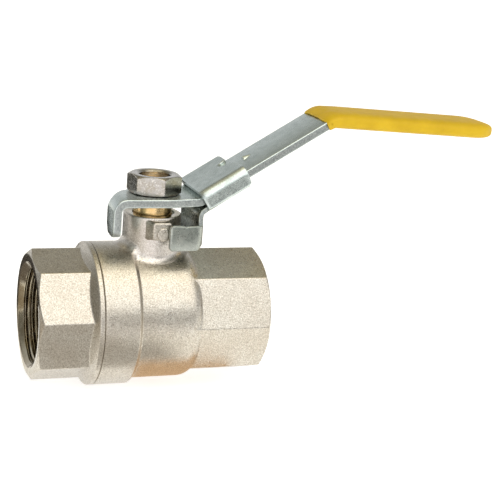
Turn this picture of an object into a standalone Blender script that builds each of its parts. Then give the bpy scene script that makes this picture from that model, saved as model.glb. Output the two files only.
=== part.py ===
"""One-inch brass ball valve with a lockable steel lever, built as separate solids.

World frame: the origin is the centre of the ball. +X runs along the pipe towards the
outlet (the end under the lever), +Z runs up the stem and +Y points away from the side
that carries the lever's hook. Lengths are metres, and the valve is open.
"""

import math

import bmesh
import bpy
from mathutils import Matrix, Vector

MM = 0.001
GAP = 0.3 * MM
MERGE = 0.05 * MM

# Driving dimensions
BORE_RADIUS = 12.5 * MM
THREAD_RADIUS = 15.3 * MM
FLATS_WIDTH = 40.5 * MM
BALL_RADIUS = 18.6 * MM
INLET_FACE_X = -40.3 * MM
OUTLET_FACE_X = 37.8 * MM
SEAM_X = -20.0 * MM
NECK_RADIUS = 9.6 * MM
NECK_TOP_Z = 34.7 * MM
PLATE_TOP_Z = 41.4 * MM
SHEET = 2.8 * MM
ARM_ANGLE = math.radians(31.6)
SIDES = 8
ROUND_STEPS = 64

# Pipe ends
CORNER_RADIUS = FLATS_WIDTH / 2 / math.cos(math.pi / SIDES)
FACE_RADIUS = 20.1 * MM
END_CHAMFER_SLOPE = 0.65
SOCKET_DEPTH = 16.8 * MM
MOUTH_RADIUS = 17.6 * MM
MOUTH_DEPTH = 1.8 * MM
INLET_OCTAGON_TURN = math.radians(-9.1)
COLLAR_RADIUS = 24.0 * MM
COLLAR_LENGTH = 3.0 * MM
COLLAR_BEVEL = 1.3 * MM

# Body barrel
BARREL_RADIUS = 24.0 * MM
STEP_RADIUS = 22.3 * MM
STEP_X = -7.9 * MM
STEP_LENGTH = 1.6 * MM
SHOULDER_X = 9.0 * MM
SHOULDER_LENGTH = 4.6 * MM
SHOULDER_END_RADIUS = 19.6 * MM
CAVITY_RADIUS = 19.2 * MM

# End connector spigot and seats
SPIGOT_RADIUS = 20.4 * MM
SPIGOT_END_X = -8.5 * MM
SEAT_INNER_RADIUS = 12.9 * MM
SEAT_OUTER_RADIUS = 16.8 * MM
SEAT_BACK = 15.6 * MM
SEAL_RING_X = -18.0 * MM
SEAL_RING_RADIUS = 19.6 * MM
SEAL_RING_WIRE = 0.75 * MM

# Neck, stop lugs and boss
FILLET_RADIUS = 3.2 * MM
LUG_HALF_WIDTH = 3.1 * MM
LUG_DRAFT = 1.2 * MM
LUG_CENTRE_X = 0.4 * MM
LUG_BOTTOM_Z = 27.8 * MM
LUG_TOP_Z = 33.6 * MM
FRONT_LUG_REACH = 11.5 * MM
REAR_LUG_REACH = 15.4 * MM
REAR_LUG_HALF_WIDTH = 2.6 * MM
BOSS_RADIUS = 2.25 * MM
BOSS_X = 0.9 * MM
BOSS_Z = 29.7 * MM
BOSS_REACH = 11.9 * MM

# Stem
SHAFT_RADIUS = 6.3 * MM
SHOULDER_Z = PLATE_TOP_Z - SHEET - GAP
FOOT_RADIUS = 7.6 * MM
FOOT_BOTTOM_Z = 19.0 * MM
FOOT_TOP_Z = 20.6 * MM
LEDGE_Z = 22.3 * MM
TANG_HALF_WIDTH = 2.5 * MM
TANG_HALF_LENGTH = 6.8 * MM
TANG_BOTTOM_Z = 14.6 * MM
SLOT_FLOOR_Z = TANG_BOTTOM_Z - GAP
THREAD_END_RADIUS = 5.0 * MM
STEM_TOP_Z = 45.6 * MM
STEM_FLAT = 3.9 * MM
RING_HEIGHTS = {"stem_o_ring_lower": 25.2 * MM, "stem_o_ring_upper": 30.0 * MM}
RING_WIRE = 0.7 * MM
RING_RADIUS = 5.6 * MM

# Lever nut
NUT_FLATS = 15.9 * MM
NUT_TOP_Z = 47.8 * MM
NUT_TURN = math.radians(6.4)
NUT_MOUTH_RADIUS = 5.9 * MM

# Lever, from the bottom of its down-turned stop tab to the tip inside the grip
HUB_FRONT_Y = -11.6 * MM
HUB_BACK_Y = 11.0 * MM
ARM_HALF_WIDTH = 9.7 * MM
TAB_X = -14.8 * MM
TAB_BOTTOM_Z = 28.6 * MM
TAB_BACK_Y = -2.6 * MM
TAB_BEND = 3.1 * MM
ARM_FOOT_X = 13.6 * MM
ARM_HEAD_X = 58.7 * MM
GRIP_SLOPE = math.radians(-2.6)
TIP_X = 117.5 * MM
ARM_BEND = 5.0 * MM
BEND_STEPS = 6
REAR_TAB_X = (3.6 * MM, 9.8 * MM)
REAR_TAB_Y = 13.2 * MM
REAR_TAB_BOTTOM_Z = 30.0 * MM
BARB_START = 21.5 * MM
BARB_LENGTH = 2.4 * MM
BARB_HEIGHT = 1.1 * MM
BARB_Y = 2.05 * MM
BARB_HALF_WIDTH = 1.3 * MM

# Lock slide: a sleeve round the arm with a leg and a hook
SLIDE_SHEET = 1.7 * MM
SLIDE_CLEARANCE = 0.4 * MM
SLIDE_START = 0.9 * MM
SLIDE_LENGTH = 15.6 * MM
TONGUE_LENGTH = 17.2 * MM
SLOT_START = 13.2 * MM
SLOT_Y = (0.4 * MM, 3.9 * MM)
LEG_X = 13.3 * MM
LEG_BEND = 2.2 * MM
HOOK_BEND = 1.7 * MM
LEG_FRONT_Y = -12.1 * MM
LEG_BACK_Y = 8.0 * MM
HOOK_BOTTOM_Z = 24.7 * MM
HOOK_TOP_Z = 33.2 * MM
HOOK_TIP_X = 2.4 * MM
HOOK_FRONT_Y = -14.0 * MM

# Grip sleeve
GRIP_START = 50.2 * MM
GRIP_WALL = 1.0 * MM
GRIP_TIP_X = 123.8 * MM
GRIP_CROWN = 3.2 * MM

ROUND_ANGLE = math.radians(35)


def clear_scene():
    for obj in list(bpy.context.scene.objects):
        bpy.data.objects.remove(obj, do_unlink=True)


def make_material(name, colour, roughness, metallic):
    material = bpy.data.materials.new(name)
    material.use_nodes = True
    shader = material.node_tree.nodes["Principled BSDF"]
    shader.inputs["Base Color"].default_value = (*colour, 1.0)
    shader.inputs["Roughness"].default_value = roughness
    shader.inputs["Metallic"].default_value = metallic
    material.diffuse_color = (*colour, 1.0)
    return material


def add_object(name, mesh_builder, material=None, parent=None):
    """Turn a finished bmesh into a named object, smooth on its round faces."""
    bmesh.ops.remove_doubles(mesh_builder, verts=mesh_builder.verts, dist=1e-7)
    bmesh.ops.recalc_face_normals(mesh_builder, faces=mesh_builder.faces)
    mesh = bpy.data.meshes.new(name)
    mesh_builder.to_mesh(mesh)
    mesh_builder.free()
    obj = bpy.data.objects.new(name, mesh)
    bpy.context.scene.collection.objects.link(obj)
    if material:
        mesh.materials.append(material)
        mesh.shade_smooth()
        mesh.set_sharp_from_angle(angle=ROUND_ANGLE)
    if parent:
        obj.parent = parent
    return obj


def as_tool(obj):
    """Mark an object as a Boolean operand that is never shown."""
    obj.hide_render = True
    obj.display_type = "WIRE"
    return obj


def boolean(obj, tool, operation):
    modifier = obj.modifiers.new(tool.name, "BOOLEAN")
    modifier.operation = operation
    modifier.solver = "EXACT"
    modifier.object = as_tool(tool)


def lathe(name, profile, axis, material=None, steps=ROUND_STEPS, parent=None):
    """Spin a closed or pole-to-pole profile of (along axis, radius) points."""
    builder = bmesh.new()
    along = Vector(axis)
    side = Vector((0, 0, 1)) if axis[0] else Vector((1, 0, 0))
    verts = [builder.verts.new(along * a + side * r) for a, r in profile]
    ends_on_axis = profile[0][1] == 0 and profile[-1][1] == 0
    pairs = list(zip(verts, verts[1:]))
    if not ends_on_axis:
        pairs.append((verts[-1], verts[0]))
    edges = [builder.edges.new(pair) for pair in pairs]
    bmesh.ops.spin(
        builder, geom=verts + edges, cent=(0, 0, 0), axis=along,
        angle=math.tau, steps=steps, use_merge=True,
    )
    return add_object(name, builder, material, parent)


def prism(name, corners, start, end, axis, material=None, parent=None):
    """Extrude a polygon of two-coordinate corners along X, Y or Z."""
    order = {"x": (2, 0, 1), "y": (0, 2, 1), "z": (0, 1, 2)}[axis]
    builder = bmesh.new()

    def place(corner, level):
        values = (corner[0], corner[1], level)
        return builder.verts.new([values[i] for i in order])

    low = [place(corner, start) for corner in corners]
    high = [place(corner, end) for corner in corners]
    builder.faces.new(low)
    builder.faces.new(high)
    count = len(corners)
    for i in range(count):
        j = (i + 1) % count
        builder.faces.new((low[i], low[j], high[j], high[i]))
    return add_object(name, builder, material, parent)


def polygon(count, radius, turn):
    angles = [turn + math.tau * i / count for i in range(count)]
    return [(radius * math.cos(a), radius * math.sin(a)) for a in angles]


def arc(centre, radius, start, end, steps):
    """Points on a circle, as (along, out) pairs, from one angle to another in degrees."""
    points = []
    for i in range(steps + 1):
        angle = math.radians(start + (end - start) * i / steps)
        points.append((centre[0] + radius * math.cos(angle), centre[1] + radius * math.sin(angle)))
    return points


def loft(name, rings, material=None, parent=None):
    """Skin a list of equally long closed rings and cap both ends."""
    builder = bmesh.new()
    rows = [[builder.verts.new(point) for point in ring] for ring in rings]
    count = len(rings[0])
    for low, high in zip(rows, rows[1:]):
        for i in range(count):
            j = (i + 1) % count
            builder.faces.new((low[i], low[j], high[j], high[i]))
    builder.faces.new(rows[0])
    builder.faces.new(rows[-1])
    return add_object(name, builder, material, parent)


def ribbon(name, stations, thickness, material=None, parent=None, flat=False):
    """A bent sheet: stations are (x, z, front y, back y) along its mid-line.

    A flat ribbon lies in the XY plane instead: (x, y, low z, high z).
    """
    rings = []
    for i, (x, z, front, back) in enumerate(stations):
        before = stations[max(i - 1, 0)]
        after = stations[min(i + 1, len(stations) - 1)]
        run = Vector((after[0] - before[0], after[1] - before[1])).normalized()
        out_x = -run.y * thickness / 2
        out_z = run.x * thickness / 2
        rings.append([
            (x + out_x, front, z + out_z),
            (x + out_x, back, z + out_z),
            (x - out_x, back, z - out_z),
            (x - out_x, front, z - out_z),
        ])
    if flat:
        rings = [[(x, z, y) for x, y, z in ring] for ring in rings]
    return loft(name, rings, material, parent)


def bend(before, corner, after, radius, widths):
    """Stations on the rounded corner of a sheet's mid-line; widths are (front y, back y) pairs."""
    c = Vector(corner)
    into = (c - Vector(before)).normalized()
    out = (Vector(after) - c).normalized()
    angle = into.angle(out)
    reach = radius * math.tan(angle / 2)
    start = c - into * reach
    stations = []
    side = 1 if into.x * out.y - into.y * out.x > 0 else -1
    centre = start + Vector((-into.y, into.x)) * radius * side
    for i in range(BEND_STEPS + 1):
        share = i / BEND_STEPS
        turn = Matrix.Rotation(angle * share * side, 2)
        point = centre + turn @ (start - centre)
        front = widths[0][0] + (widths[1][0] - widths[0][0]) * share
        back = widths[0][1] + (widths[1][1] - widths[0][1]) * share
        stations.append((point.x, point.y, front, back))
    return stations


def octagon_end(name, face_x, inner_x, turn):
    """An octagonal pipe end whose outer corners are turned down to a cone."""
    outward = 1 if face_x > inner_x else -1
    drop = (CORNER_RADIUS - FACE_RADIUS) * END_CHAMFER_SLOPE * 1.2
    reach = FACE_RADIUS + drop / END_CHAMFER_SLOPE
    octagon = prism(name, polygon(SIDES, CORNER_RADIUS, turn), inner_x, face_x, "x")
    envelope = lathe(f"{name}_cone", [
        (inner_x - outward * MM, 0),
        (inner_x - outward * MM, reach),
        (face_x - outward * drop, reach),
        (face_x, FACE_RADIUS),
        (face_x, 0),
    ], (1, 0, 0))
    boolean(octagon, envelope, "INTERSECT")
    return octagon


def socket_profile(face_x, outward):
    """Half of the threaded socket's outline, from outside the face to the socket floor."""
    return [
        (face_x + outward * MM, MOUTH_RADIUS),
        (face_x, MOUTH_RADIUS),
        (face_x - outward * MOUTH_DEPTH, THREAD_RADIUS),
        (face_x - outward * SOCKET_DEPTH, THREAD_RADIUS),
        (face_x - outward * (SOCKET_DEPTH + 1.4 * MM), BORE_RADIUS),
    ]


def barrel_radius(x):
    """Outer radius of the barrel under the neck, easing over the step."""
    share = min(max((x - STEP_X + STEP_LENGTH / 2) / STEP_LENGTH, 0), 1)
    ease = share * share * (3 - 2 * share)
    return BARREL_RADIUS + (STEP_RADIUS - BARREL_RADIUS) * ease


def neck_rings():
    """Rings of the neck, from its buried root over a rolled fillet to the flat top."""
    arc_steps = 6
    levels = [[] for _ in range(arc_steps + 3)]
    for i in range(ROUND_STEPS):
        angle = math.tau * i / ROUND_STEPS
        out = Vector((math.cos(angle), math.sin(angle), 0))
        centre = out * (NECK_RADIUS + FILLET_RADIUS)
        radius = barrel_radius(centre.x)
        centre.z = math.sqrt((radius + FILLET_RADIUS) ** 2 - centre.y ** 2)
        down = Vector((0, -centre.y, -centre.z)).normalized()
        touch = centre + down * (FILLET_RADIUS - 0.04 * MM)
        levels[0].append(Vector((touch.x, touch.y, touch.z - 3 * MM)))
        for step in range(arc_steps + 1):
            direction = down.slerp(-out, step / arc_steps)
            levels[step + 1].append(centre + direction * FILLET_RADIUS)
        levels[1][-1] = touch
        levels[-1].append(Vector((out.x * NECK_RADIUS, out.y * NECK_RADIUS, NECK_TOP_Z)))
    return levels


def stop_lug(name, side, reach, half_width, draft):
    """A drafted cast lug on the neck; side is -1 for the front and 1 for the back."""
    rings = []
    for share in (0.0, 1.0):
        y = side * (NECK_RADIUS - 1.5 * MM + share * (reach - NECK_RADIUS + 1.5 * MM))
        half = half_width + draft * (1 - share)
        low = LUG_BOTTOM_Z - draft / 2 * (1 - share)
        high = LUG_TOP_Z + draft / 4 * (1 - share)
        middle = LUG_CENTRE_X
        rings.append([
            (middle - half, y, low + 1.2 * MM), (middle - half + 1.2 * MM, y, low),
            (middle + half - 1.2 * MM, y, low), (middle + half, y, low + 1.2 * MM),
            (middle + half, y, high - 0.8 * MM), (middle + half - 0.8 * MM, y, high),
            (middle - half + 0.8 * MM, y, high), (middle - half, y, high - 0.8 * MM),
        ])
    return loft(name, rings)


def front_boss():
    """The round boss on the front lug."""
    circle = [(BOSS_X + x, BOSS_Z + z) for x, z in polygon(24, BOSS_RADIUS, 0)]
    return prism("tool_front_boss", circle, -BOSS_REACH, -NECK_RADIUS, "y")


def body_bore_profile():
    """Everything turned out of the body along the pipe axis, inlet side first."""
    bore = [
        (SEAM_X - 2 * MM, 0),
        (SEAM_X - 2 * MM, SPIGOT_RADIUS + GAP),
        (SPIGOT_END_X + GAP, SPIGOT_RADIUS + GAP),
        (SPIGOT_END_X + GAP, CAVITY_RADIUS),
        (8.6 * MM, CAVITY_RADIUS),
        (8.6 * MM, SEAT_OUTER_RADIUS + GAP),
        (SEAT_BACK + GAP, SEAT_OUTER_RADIUS + GAP),
        (SEAT_BACK + GAP, BORE_RADIUS),
    ]
    bore.extend(reversed(socket_profile(OUTLET_FACE_X, 1)))
    bore.append((OUTLET_FACE_X + MM, 0))
    return bore


def build_body(material):
    shoulder = []
    for x, r in arc((0, 0), 1, 90, 0, 6):
        shoulder.append((
            SHOULDER_X + SHOULDER_LENGTH * x,
            SHOULDER_END_RADIUS + (STEP_RADIUS - SHOULDER_END_RADIUS) * r,
        ))
    step = []
    for i in range(5):
        x = STEP_X + STEP_LENGTH * (i / 4 - 0.5)
        step.append((x, barrel_radius(x)))
    left = SEAM_X + GAP / 2
    body = lathe("valve_body", [
        (left, 0),
        (left, BARREL_RADIUS - 0.6 * MM),
        (left + 0.6 * MM, BARREL_RADIUS),
        *step,
        *shoulder,
        (SHOULDER_X + SHOULDER_LENGTH + 1.2 * MM, 18.0 * MM),
        (SHOULDER_X + SHOULDER_LENGTH + 1.2 * MM, 0),
    ], (1, 0, 0), material)
    octagon = octagon_end("tool_outlet_octagon", OUTLET_FACE_X, 10.5 * MM, 0.0)
    neck = loft("tool_neck", neck_rings())
    front = stop_lug("tool_front_lug", -1, FRONT_LUG_REACH, LUG_HALF_WIDTH, LUG_DRAFT)
    rear = stop_lug("tool_rear_lug", 1, REAR_LUG_REACH, REAR_LUG_HALF_WIDTH, 0.6 * MM)
    bore = lathe("tool_body_bore", body_bore_profile(), (1, 0, 0))
    stem_hole = lathe("tool_stem_hole", [
        (10 * MM, 0),
        (10 * MM, FOOT_RADIUS + GAP),
        (LEDGE_Z, FOOT_RADIUS + GAP),
        (LEDGE_Z, SHAFT_RADIUS + GAP),
        (NECK_TOP_Z + MM, SHAFT_RADIUS + GAP),
        (NECK_TOP_Z + MM, 0),
    ], (0, 0, 1))
    for tool in (octagon, neck, front, front_boss(), rear):
        boolean(body, tool, "UNION")
    for tool in (bore, stem_hole):
        boolean(body, tool, "DIFFERENCE")
    return body


def build_end_connector(material):
    right = SEAM_X - GAP / 2
    left = right - COLLAR_LENGTH
    connector = lathe("end_connector", [
        (left - 2 * MM, 0),
        (left - 2 * MM, 19.5 * MM),
        (left - 0.2 * MM, COLLAR_RADIUS - 2 * COLLAR_BEVEL),
        (left + COLLAR_BEVEL, COLLAR_RADIUS),
        (right - 0.5 * MM, COLLAR_RADIUS),
        (right, COLLAR_RADIUS - 0.5 * MM),
        (right, SPIGOT_RADIUS),
        (SEAL_RING_X - 1.1 * MM, SPIGOT_RADIUS),
        (SEAL_RING_X - 1.1 * MM, SEAL_RING_RADIUS - SEAL_RING_WIRE - GAP),
        (SEAL_RING_X + 1.1 * MM, SEAL_RING_RADIUS - SEAL_RING_WIRE - GAP),
        (SEAL_RING_X + 1.1 * MM, SPIGOT_RADIUS),
        (SPIGOT_END_X - 0.6 * MM, SPIGOT_RADIUS),
        (SPIGOT_END_X, SPIGOT_RADIUS - 0.6 * MM),
        (SPIGOT_END_X, 0),
    ], (1, 0, 0), material)
    octagon = octagon_end("tool_inlet_octagon", INLET_FACE_X, left + MM, INLET_OCTAGON_TURN)
    bore_profile = [(INLET_FACE_X - MM, 0)]
    bore_profile.extend(socket_profile(INLET_FACE_X, -1))
    bore_profile.extend([
        (-SEAT_BACK - GAP, BORE_RADIUS),
        (-SEAT_BACK - GAP, SEAT_OUTER_RADIUS + GAP),
        (SPIGOT_END_X + MM, SEAT_OUTER_RADIUS + GAP),
        (SPIGOT_END_X + MM, 0),
    ])
    boolean(connector, octagon, "UNION")
    boolean(connector, lathe("tool_connector_bore", bore_profile, (1, 0, 0)), "DIFFERENCE")
    return connector


def build_ring(name, radius, wire, place, axis, material, parent=None):
    """An O-ring of round section, centred at a distance along its axis."""
    profile = arc((place, radius), wire, 0, 345, 23)
    return lathe(name, profile, axis, material, steps=48, parent=parent)


def build_seat(name, side, material):
    """A PTFE ring whose inner face follows the ball at a small gap."""
    contact = BALL_RADIUS + GAP
    profile = [(side * SEAT_BACK, SEAT_INNER_RADIUS), (side * SEAT_BACK, SEAT_OUTER_RADIUS)]
    for i in range(7):
        radius = SEAT_OUTER_RADIUS + (SEAT_INNER_RADIUS - SEAT_OUTER_RADIUS) * i / 6
        profile.append((side * math.sqrt(contact ** 2 - radius ** 2), radius))
    return lathe(name, profile, (1, 0, 0), material)


def build_ball(material, parent):
    """The ball: a sphere with the waterway through it and a slot for the stem's tang."""
    start = math.asin(BORE_RADIUS / BALL_RADIUS)
    profile = []
    steps = 20
    for i in range(steps + 1):
        angle = start + (math.pi - 2 * start) * i / steps
        profile.append((BALL_RADIUS * math.cos(angle), BALL_RADIUS * math.sin(angle)))
    ball = lathe("ball", profile, (1, 0, 0), material, parent=parent)
    half = TANG_HALF_WIDTH + GAP
    slot = prism("tool_ball_slot", [
        (-half, -BALL_RADIUS), (half, -BALL_RADIUS), (half, BALL_RADIUS), (-half, BALL_RADIUS),
    ], SLOT_FLOOR_Z, BALL_RADIUS + MM, "z")
    boolean(ball, slot, "DIFFERENCE")
    return ball


def double_d(name, radius, flat, bottom, top):
    """A round bar with two flats facing +Y and -Y, used for the stem's end and its hole."""
    limit = math.degrees(math.asin(flat / radius))
    outline = arc((0, 0), radius, -limit, limit, 8)
    outline += arc((0, 0), radius, 180 - limit, 180 + limit, 8)
    return prism(name, outline, bottom, top, "z")


def build_stem(material, parent):
    profile = [(FOOT_BOTTOM_Z, 0), (FOOT_BOTTOM_Z, FOOT_RADIUS), (FOOT_TOP_Z, FOOT_RADIUS)]
    profile.append((FOOT_TOP_Z, SHAFT_RADIUS))
    groove_floor = RING_RADIUS - RING_WIRE - GAP
    for height in sorted(RING_HEIGHTS.values()):
        half = RING_WIRE + GAP
        profile.extend([
            (height - half, SHAFT_RADIUS), (height - half, groove_floor),
            (height + half, groove_floor), (height + half, SHAFT_RADIUS),
        ])
    profile.extend([
        (SHOULDER_Z - 0.4 * MM, SHAFT_RADIUS),
        (SHOULDER_Z, SHAFT_RADIUS - 0.4 * MM),
        (SHOULDER_Z, THREAD_END_RADIUS),
        (STEM_TOP_Z - 0.8 * MM, THREAD_END_RADIUS),
        (STEM_TOP_Z, THREAD_END_RADIUS - 0.8 * MM),
        (STEM_TOP_Z, 0),
    ])
    stem = lathe("stem", profile, (0, 0, 1), material, steps=48, parent=parent)
    tang = prism("tool_stem_tang", [
        (-TANG_HALF_WIDTH, -TANG_HALF_LENGTH), (TANG_HALF_WIDTH, -TANG_HALF_LENGTH),
        (TANG_HALF_WIDTH, TANG_HALF_LENGTH), (-TANG_HALF_WIDTH, TANG_HALF_LENGTH),
    ], TANG_BOTTOM_Z, FOOT_TOP_Z - 0.5 * MM, "z")
    boolean(stem, tang, "UNION")
    for side in (-1, 1):
        name = "tool_front_stem_flat" if side < 0 else "tool_rear_stem_flat"
        near = side * STEM_FLAT
        far = side * SHAFT_RADIUS
        cutter = prism(name, [
            (-SHAFT_RADIUS, near), (SHAFT_RADIUS, near), (SHAFT_RADIUS, far), (-SHAFT_RADIUS, far),
        ], SHOULDER_Z, PLATE_TOP_Z, "z")
        boolean(stem, cutter, "DIFFERENCE")
    return stem


def build_thrust_washer(material):
    low = FOOT_TOP_Z + GAP
    high = LEDGE_Z - GAP
    return lathe("stem_thrust_washer", [
        (low, SHAFT_RADIUS + GAP), (high, SHAFT_RADIUS + GAP),
        (high, FOOT_RADIUS), (low, FOOT_RADIUS),
    ], (0, 0, 1), material, steps=48)


def build_nut(material, parent):
    """Hexagon nut, its top corners turned down to a cone."""
    bottom = PLATE_TOP_Z + GAP
    corner = NUT_FLATS / 2 / math.cos(math.pi / 6)
    nut = prism("lever_nut", polygon(6, corner, NUT_TURN - math.pi / 2), bottom, NUT_TOP_Z, "z",
                material, parent)
    envelope = lathe("tool_nut_envelope", [
        (bottom - MM, 0), (bottom - MM, corner + 0.2 * MM),
        (NUT_TOP_Z - 0.9 * MM, corner + 0.2 * MM), (NUT_TOP_Z, corner - 1.3 * MM), (NUT_TOP_Z, 0),
    ], (0, 0, 1))
    hole = lathe("tool_nut_hole", [
        (bottom - MM, 0), (bottom - MM, THREAD_END_RADIUS + GAP),
        (NUT_TOP_Z - 0.6 * MM, THREAD_END_RADIUS + GAP), (NUT_TOP_Z, NUT_MOUTH_RADIUS),
        (NUT_TOP_Z + MM, NUT_MOUTH_RADIUS), (NUT_TOP_Z + MM, 0),
    ], (0, 0, 1), steps=48)
    boolean(nut, envelope, "INTERSECT")
    boolean(nut, hole, "DIFFERENCE")
    return nut


def arm_point(distance, offset=0.0):
    """A point (x, z) at a distance up the arm's mid-line and an offset square to it."""
    x = ARM_FOOT_X + distance * math.cos(ARM_ANGLE) - offset * math.sin(ARM_ANGLE)
    z = PLATE_TOP_Z - SHEET / 2 + distance * math.sin(ARM_ANGLE) + offset * math.cos(ARM_ANGLE)
    return x, z


def lever_corners():
    """The lever's mid-line corners: tab foot, tab top, arm foot, arm head and tip."""
    plate_z = PLATE_TOP_Z - SHEET / 2
    head = (ARM_HEAD_X, plate_z + (ARM_HEAD_X - ARM_FOOT_X) * math.tan(ARM_ANGLE))
    tip = (TIP_X, head[1] + (TIP_X - ARM_HEAD_X) * math.tan(GRIP_SLOPE))
    return (TAB_X, TAB_BOTTOM_Z), (TAB_X, plate_z), (ARM_FOOT_X, plate_z), head, tip


def lever_stations():
    foot, tab_top, arm_foot, head, tip = lever_corners()
    plate_z = tab_top[1]
    arm = (-ARM_HALF_WIDTH, ARM_HALF_WIDTH)
    stations = [
        (TAB_X, TAB_BOTTOM_Z, HUB_FRONT_Y + 1.4 * MM, TAB_BACK_Y - 4.2 * MM),
        (TAB_X, TAB_BOTTOM_Z + 0.5 * MM, HUB_FRONT_Y + 0.5 * MM, TAB_BACK_Y - 2.6 * MM),
        (TAB_X, TAB_BOTTOM_Z + 1.6 * MM, HUB_FRONT_Y, TAB_BACK_Y - 1.0 * MM),
        (TAB_X, TAB_BOTTOM_Z + 3.6 * MM, HUB_FRONT_Y, TAB_BACK_Y),
    ]
    tab_widths = ((HUB_FRONT_Y, TAB_BACK_Y), (HUB_FRONT_Y, 0.6 * MM))
    stations.extend(bend(foot, tab_top, arm_foot, TAB_BEND, tab_widths))
    stations.extend([
        (-8.6 * MM, plate_z, HUB_FRONT_Y, 4.4 * MM),
        (-4.5 * MM, plate_z, HUB_FRONT_Y, HUB_BACK_Y - 1.2 * MM),
        (-1.5 * MM, plate_z, HUB_FRONT_Y, HUB_BACK_Y),
        (2.0 * MM, plate_z, HUB_FRONT_Y, HUB_BACK_Y),
        (6.5 * MM, plate_z, HUB_FRONT_Y + 0.7 * MM, HUB_BACK_Y),
    ])
    hub_end = (HUB_FRONT_Y + 1.6 * MM, HUB_BACK_Y - MM)
    stations.extend(bend(tab_top, arm_foot, head, ARM_BEND, (hub_end, arm)))
    stations.extend(bend(arm_foot, head, tip, ARM_BEND, (arm, arm)))
    for share in (0.0, 0.4, 0.7, 0.9, 1.0):
        x = TIP_X - ARM_HALF_WIDTH * (1 - share)
        half = ARM_HALF_WIDTH * max(math.sqrt(1 - share ** 2), 0.25)
        stations.append((x, head[1] + (x - ARM_HEAD_X) * math.tan(GRIP_SLOPE), -half, half))
    return stations


def rear_stop_tab():
    """The lever's hidden second tab, turned down from the hub's rear edge."""
    inner = REAR_TAB_Y
    outer = REAR_TAB_Y + SHEET
    low = PLATE_TOP_Z - SHEET
    reach = HUB_BACK_Y - MM
    outline = [(reach, PLATE_TOP_Z), (reach, low), (inner, low), (inner, REAR_TAB_BOTTOM_Z)]
    outline.append((outer, REAR_TAB_BOTTOM_Z))
    centre = (outer - 1.6 * MM, PLATE_TOP_Z - 1.6 * MM)
    outline.extend(arc(centre, 1.6 * MM, 0, 90, 4))
    return prism("tool_rear_tab", outline, REAR_TAB_X[0], REAR_TAB_X[1], "x")


def slide_barb():
    """The small wedge pressed up from the arm, which stops the lock slide."""
    rings = []
    for share, height in ((0.0, BARB_HEIGHT), (1.0, 0.15 * MM)):
        distance = BARB_START + BARB_LENGTH * share
        half = BARB_HALF_WIDTH * (1 - 0.6 * share)
        low = arm_point(distance, SHEET / 2 - 0.6 * MM)
        high = arm_point(distance, SHEET / 2 + height)
        rings.append([
            (low[0], BARB_Y - half, low[1]), (low[0], BARB_Y + half, low[1]),
            (high[0], BARB_Y + half, high[1]), (high[0], BARB_Y - half, high[1]),
        ])
    return loft("tool_barb", rings)


def build_lever(material, parent):
    lever = ribbon("lever", lever_stations(), SHEET, material, parent)
    hole = double_d("tool_lever_hole", THREAD_END_RADIUS + GAP, STEM_FLAT + GAP,
                    PLATE_TOP_Z - SHEET - MM, PLATE_TOP_Z + MM)
    boolean(lever, rear_stop_tab(), "UNION")
    boolean(lever, slide_barb(), "UNION")
    boolean(lever, hole, "DIFFERENCE")
    return lever


def grip_section(centre, angle, half_width, crown, under):
    """One ring of the grip: a low roof shape, square to the lever's mid-line."""
    shape = [
        (-0.95, -1.0), (-1.0, -0.55), (-1.0, 0.5), (-0.93, 0.76), (-0.68, 0.94), (-0.3, 1.0),
        (0.3, 1.0), (0.68, 0.94), (0.93, 0.76), (1.0, 0.5), (1.0, -0.55), (0.95, -1.0),
    ]
    ring = []
    for across, up in shape:
        height = up * (crown if up > 0 else under)
        ring.append((
            centre[0] - height * math.sin(angle),
            across * half_width,
            centre[1] + height * math.cos(angle),
        ))
    return ring


def build_grip(material, parent):
    """The PVC sleeve: it follows the lever's last bend and closes over the tip."""
    _, _, arm_foot, head, tip = lever_corners()
    wall = SHEET / 2 + GRIP_WALL
    base = ARM_HALF_WIDTH + GRIP_WALL
    rings = []
    start = arm_point(GRIP_START)
    rings.append(grip_section(start, ARM_ANGLE, base, wall, wall))
    for x, z, share, _ in bend(arm_foot, head, tip, ARM_BEND, ((0, 0), (1, 0))):
        angle = ARM_ANGLE + (GRIP_SLOPE - ARM_ANGLE) * share
        crown = wall + (GRIP_CROWN - wall) * share * 0.8
        rings.append(grip_section((x, z), angle, base, crown, wall))
    end = GRIP_TIP_X - base
    for x, crown in ((66 * MM, GRIP_CROWN), (95 * MM, GRIP_CROWN), (end, GRIP_CROWN - 0.2 * MM)):
        z = head[1] + (x - ARM_HEAD_X) * math.tan(GRIP_SLOPE)
        rings.append(grip_section((x, z), GRIP_SLOPE, base, crown, wall))
    for share in (0.3, 0.55, 0.75, 0.9, 0.98):
        x = end + base * share
        z = head[1] + (x - ARM_HEAD_X) * math.tan(GRIP_SLOPE)
        round_off = math.sqrt(1 - share ** 2)
        crown = 1.0 * MM + (GRIP_CROWN - 1.2 * MM) * round_off
        rings.append(grip_section((x, z), GRIP_SLOPE, base * round_off, crown, wall))
    grip = loft("lever_grip", rings, material, parent)
    pocket_stations = []
    for x, z, front, back in lever_stations():
        if x > arm_point(GRIP_START - 6 * MM)[0]:
            pocket_stations.append((x, z, front - GAP, back + GAP))
    first = arm_point(GRIP_START - 6 * MM)
    arm_edge = ARM_HALF_WIDTH + GAP
    pocket_stations.insert(0, (first[0], first[1], -arm_edge, arm_edge))
    last = pocket_stations[-1]
    pocket_stations.append((last[0] + GAP, last[1], last[2] / 2, last[3] / 2))
    pocket = ribbon("tool_grip_pocket", pocket_stations, SHEET + 2 * GAP)
    boolean(grip, pocket, "DIFFERENCE")
    return grip


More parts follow.
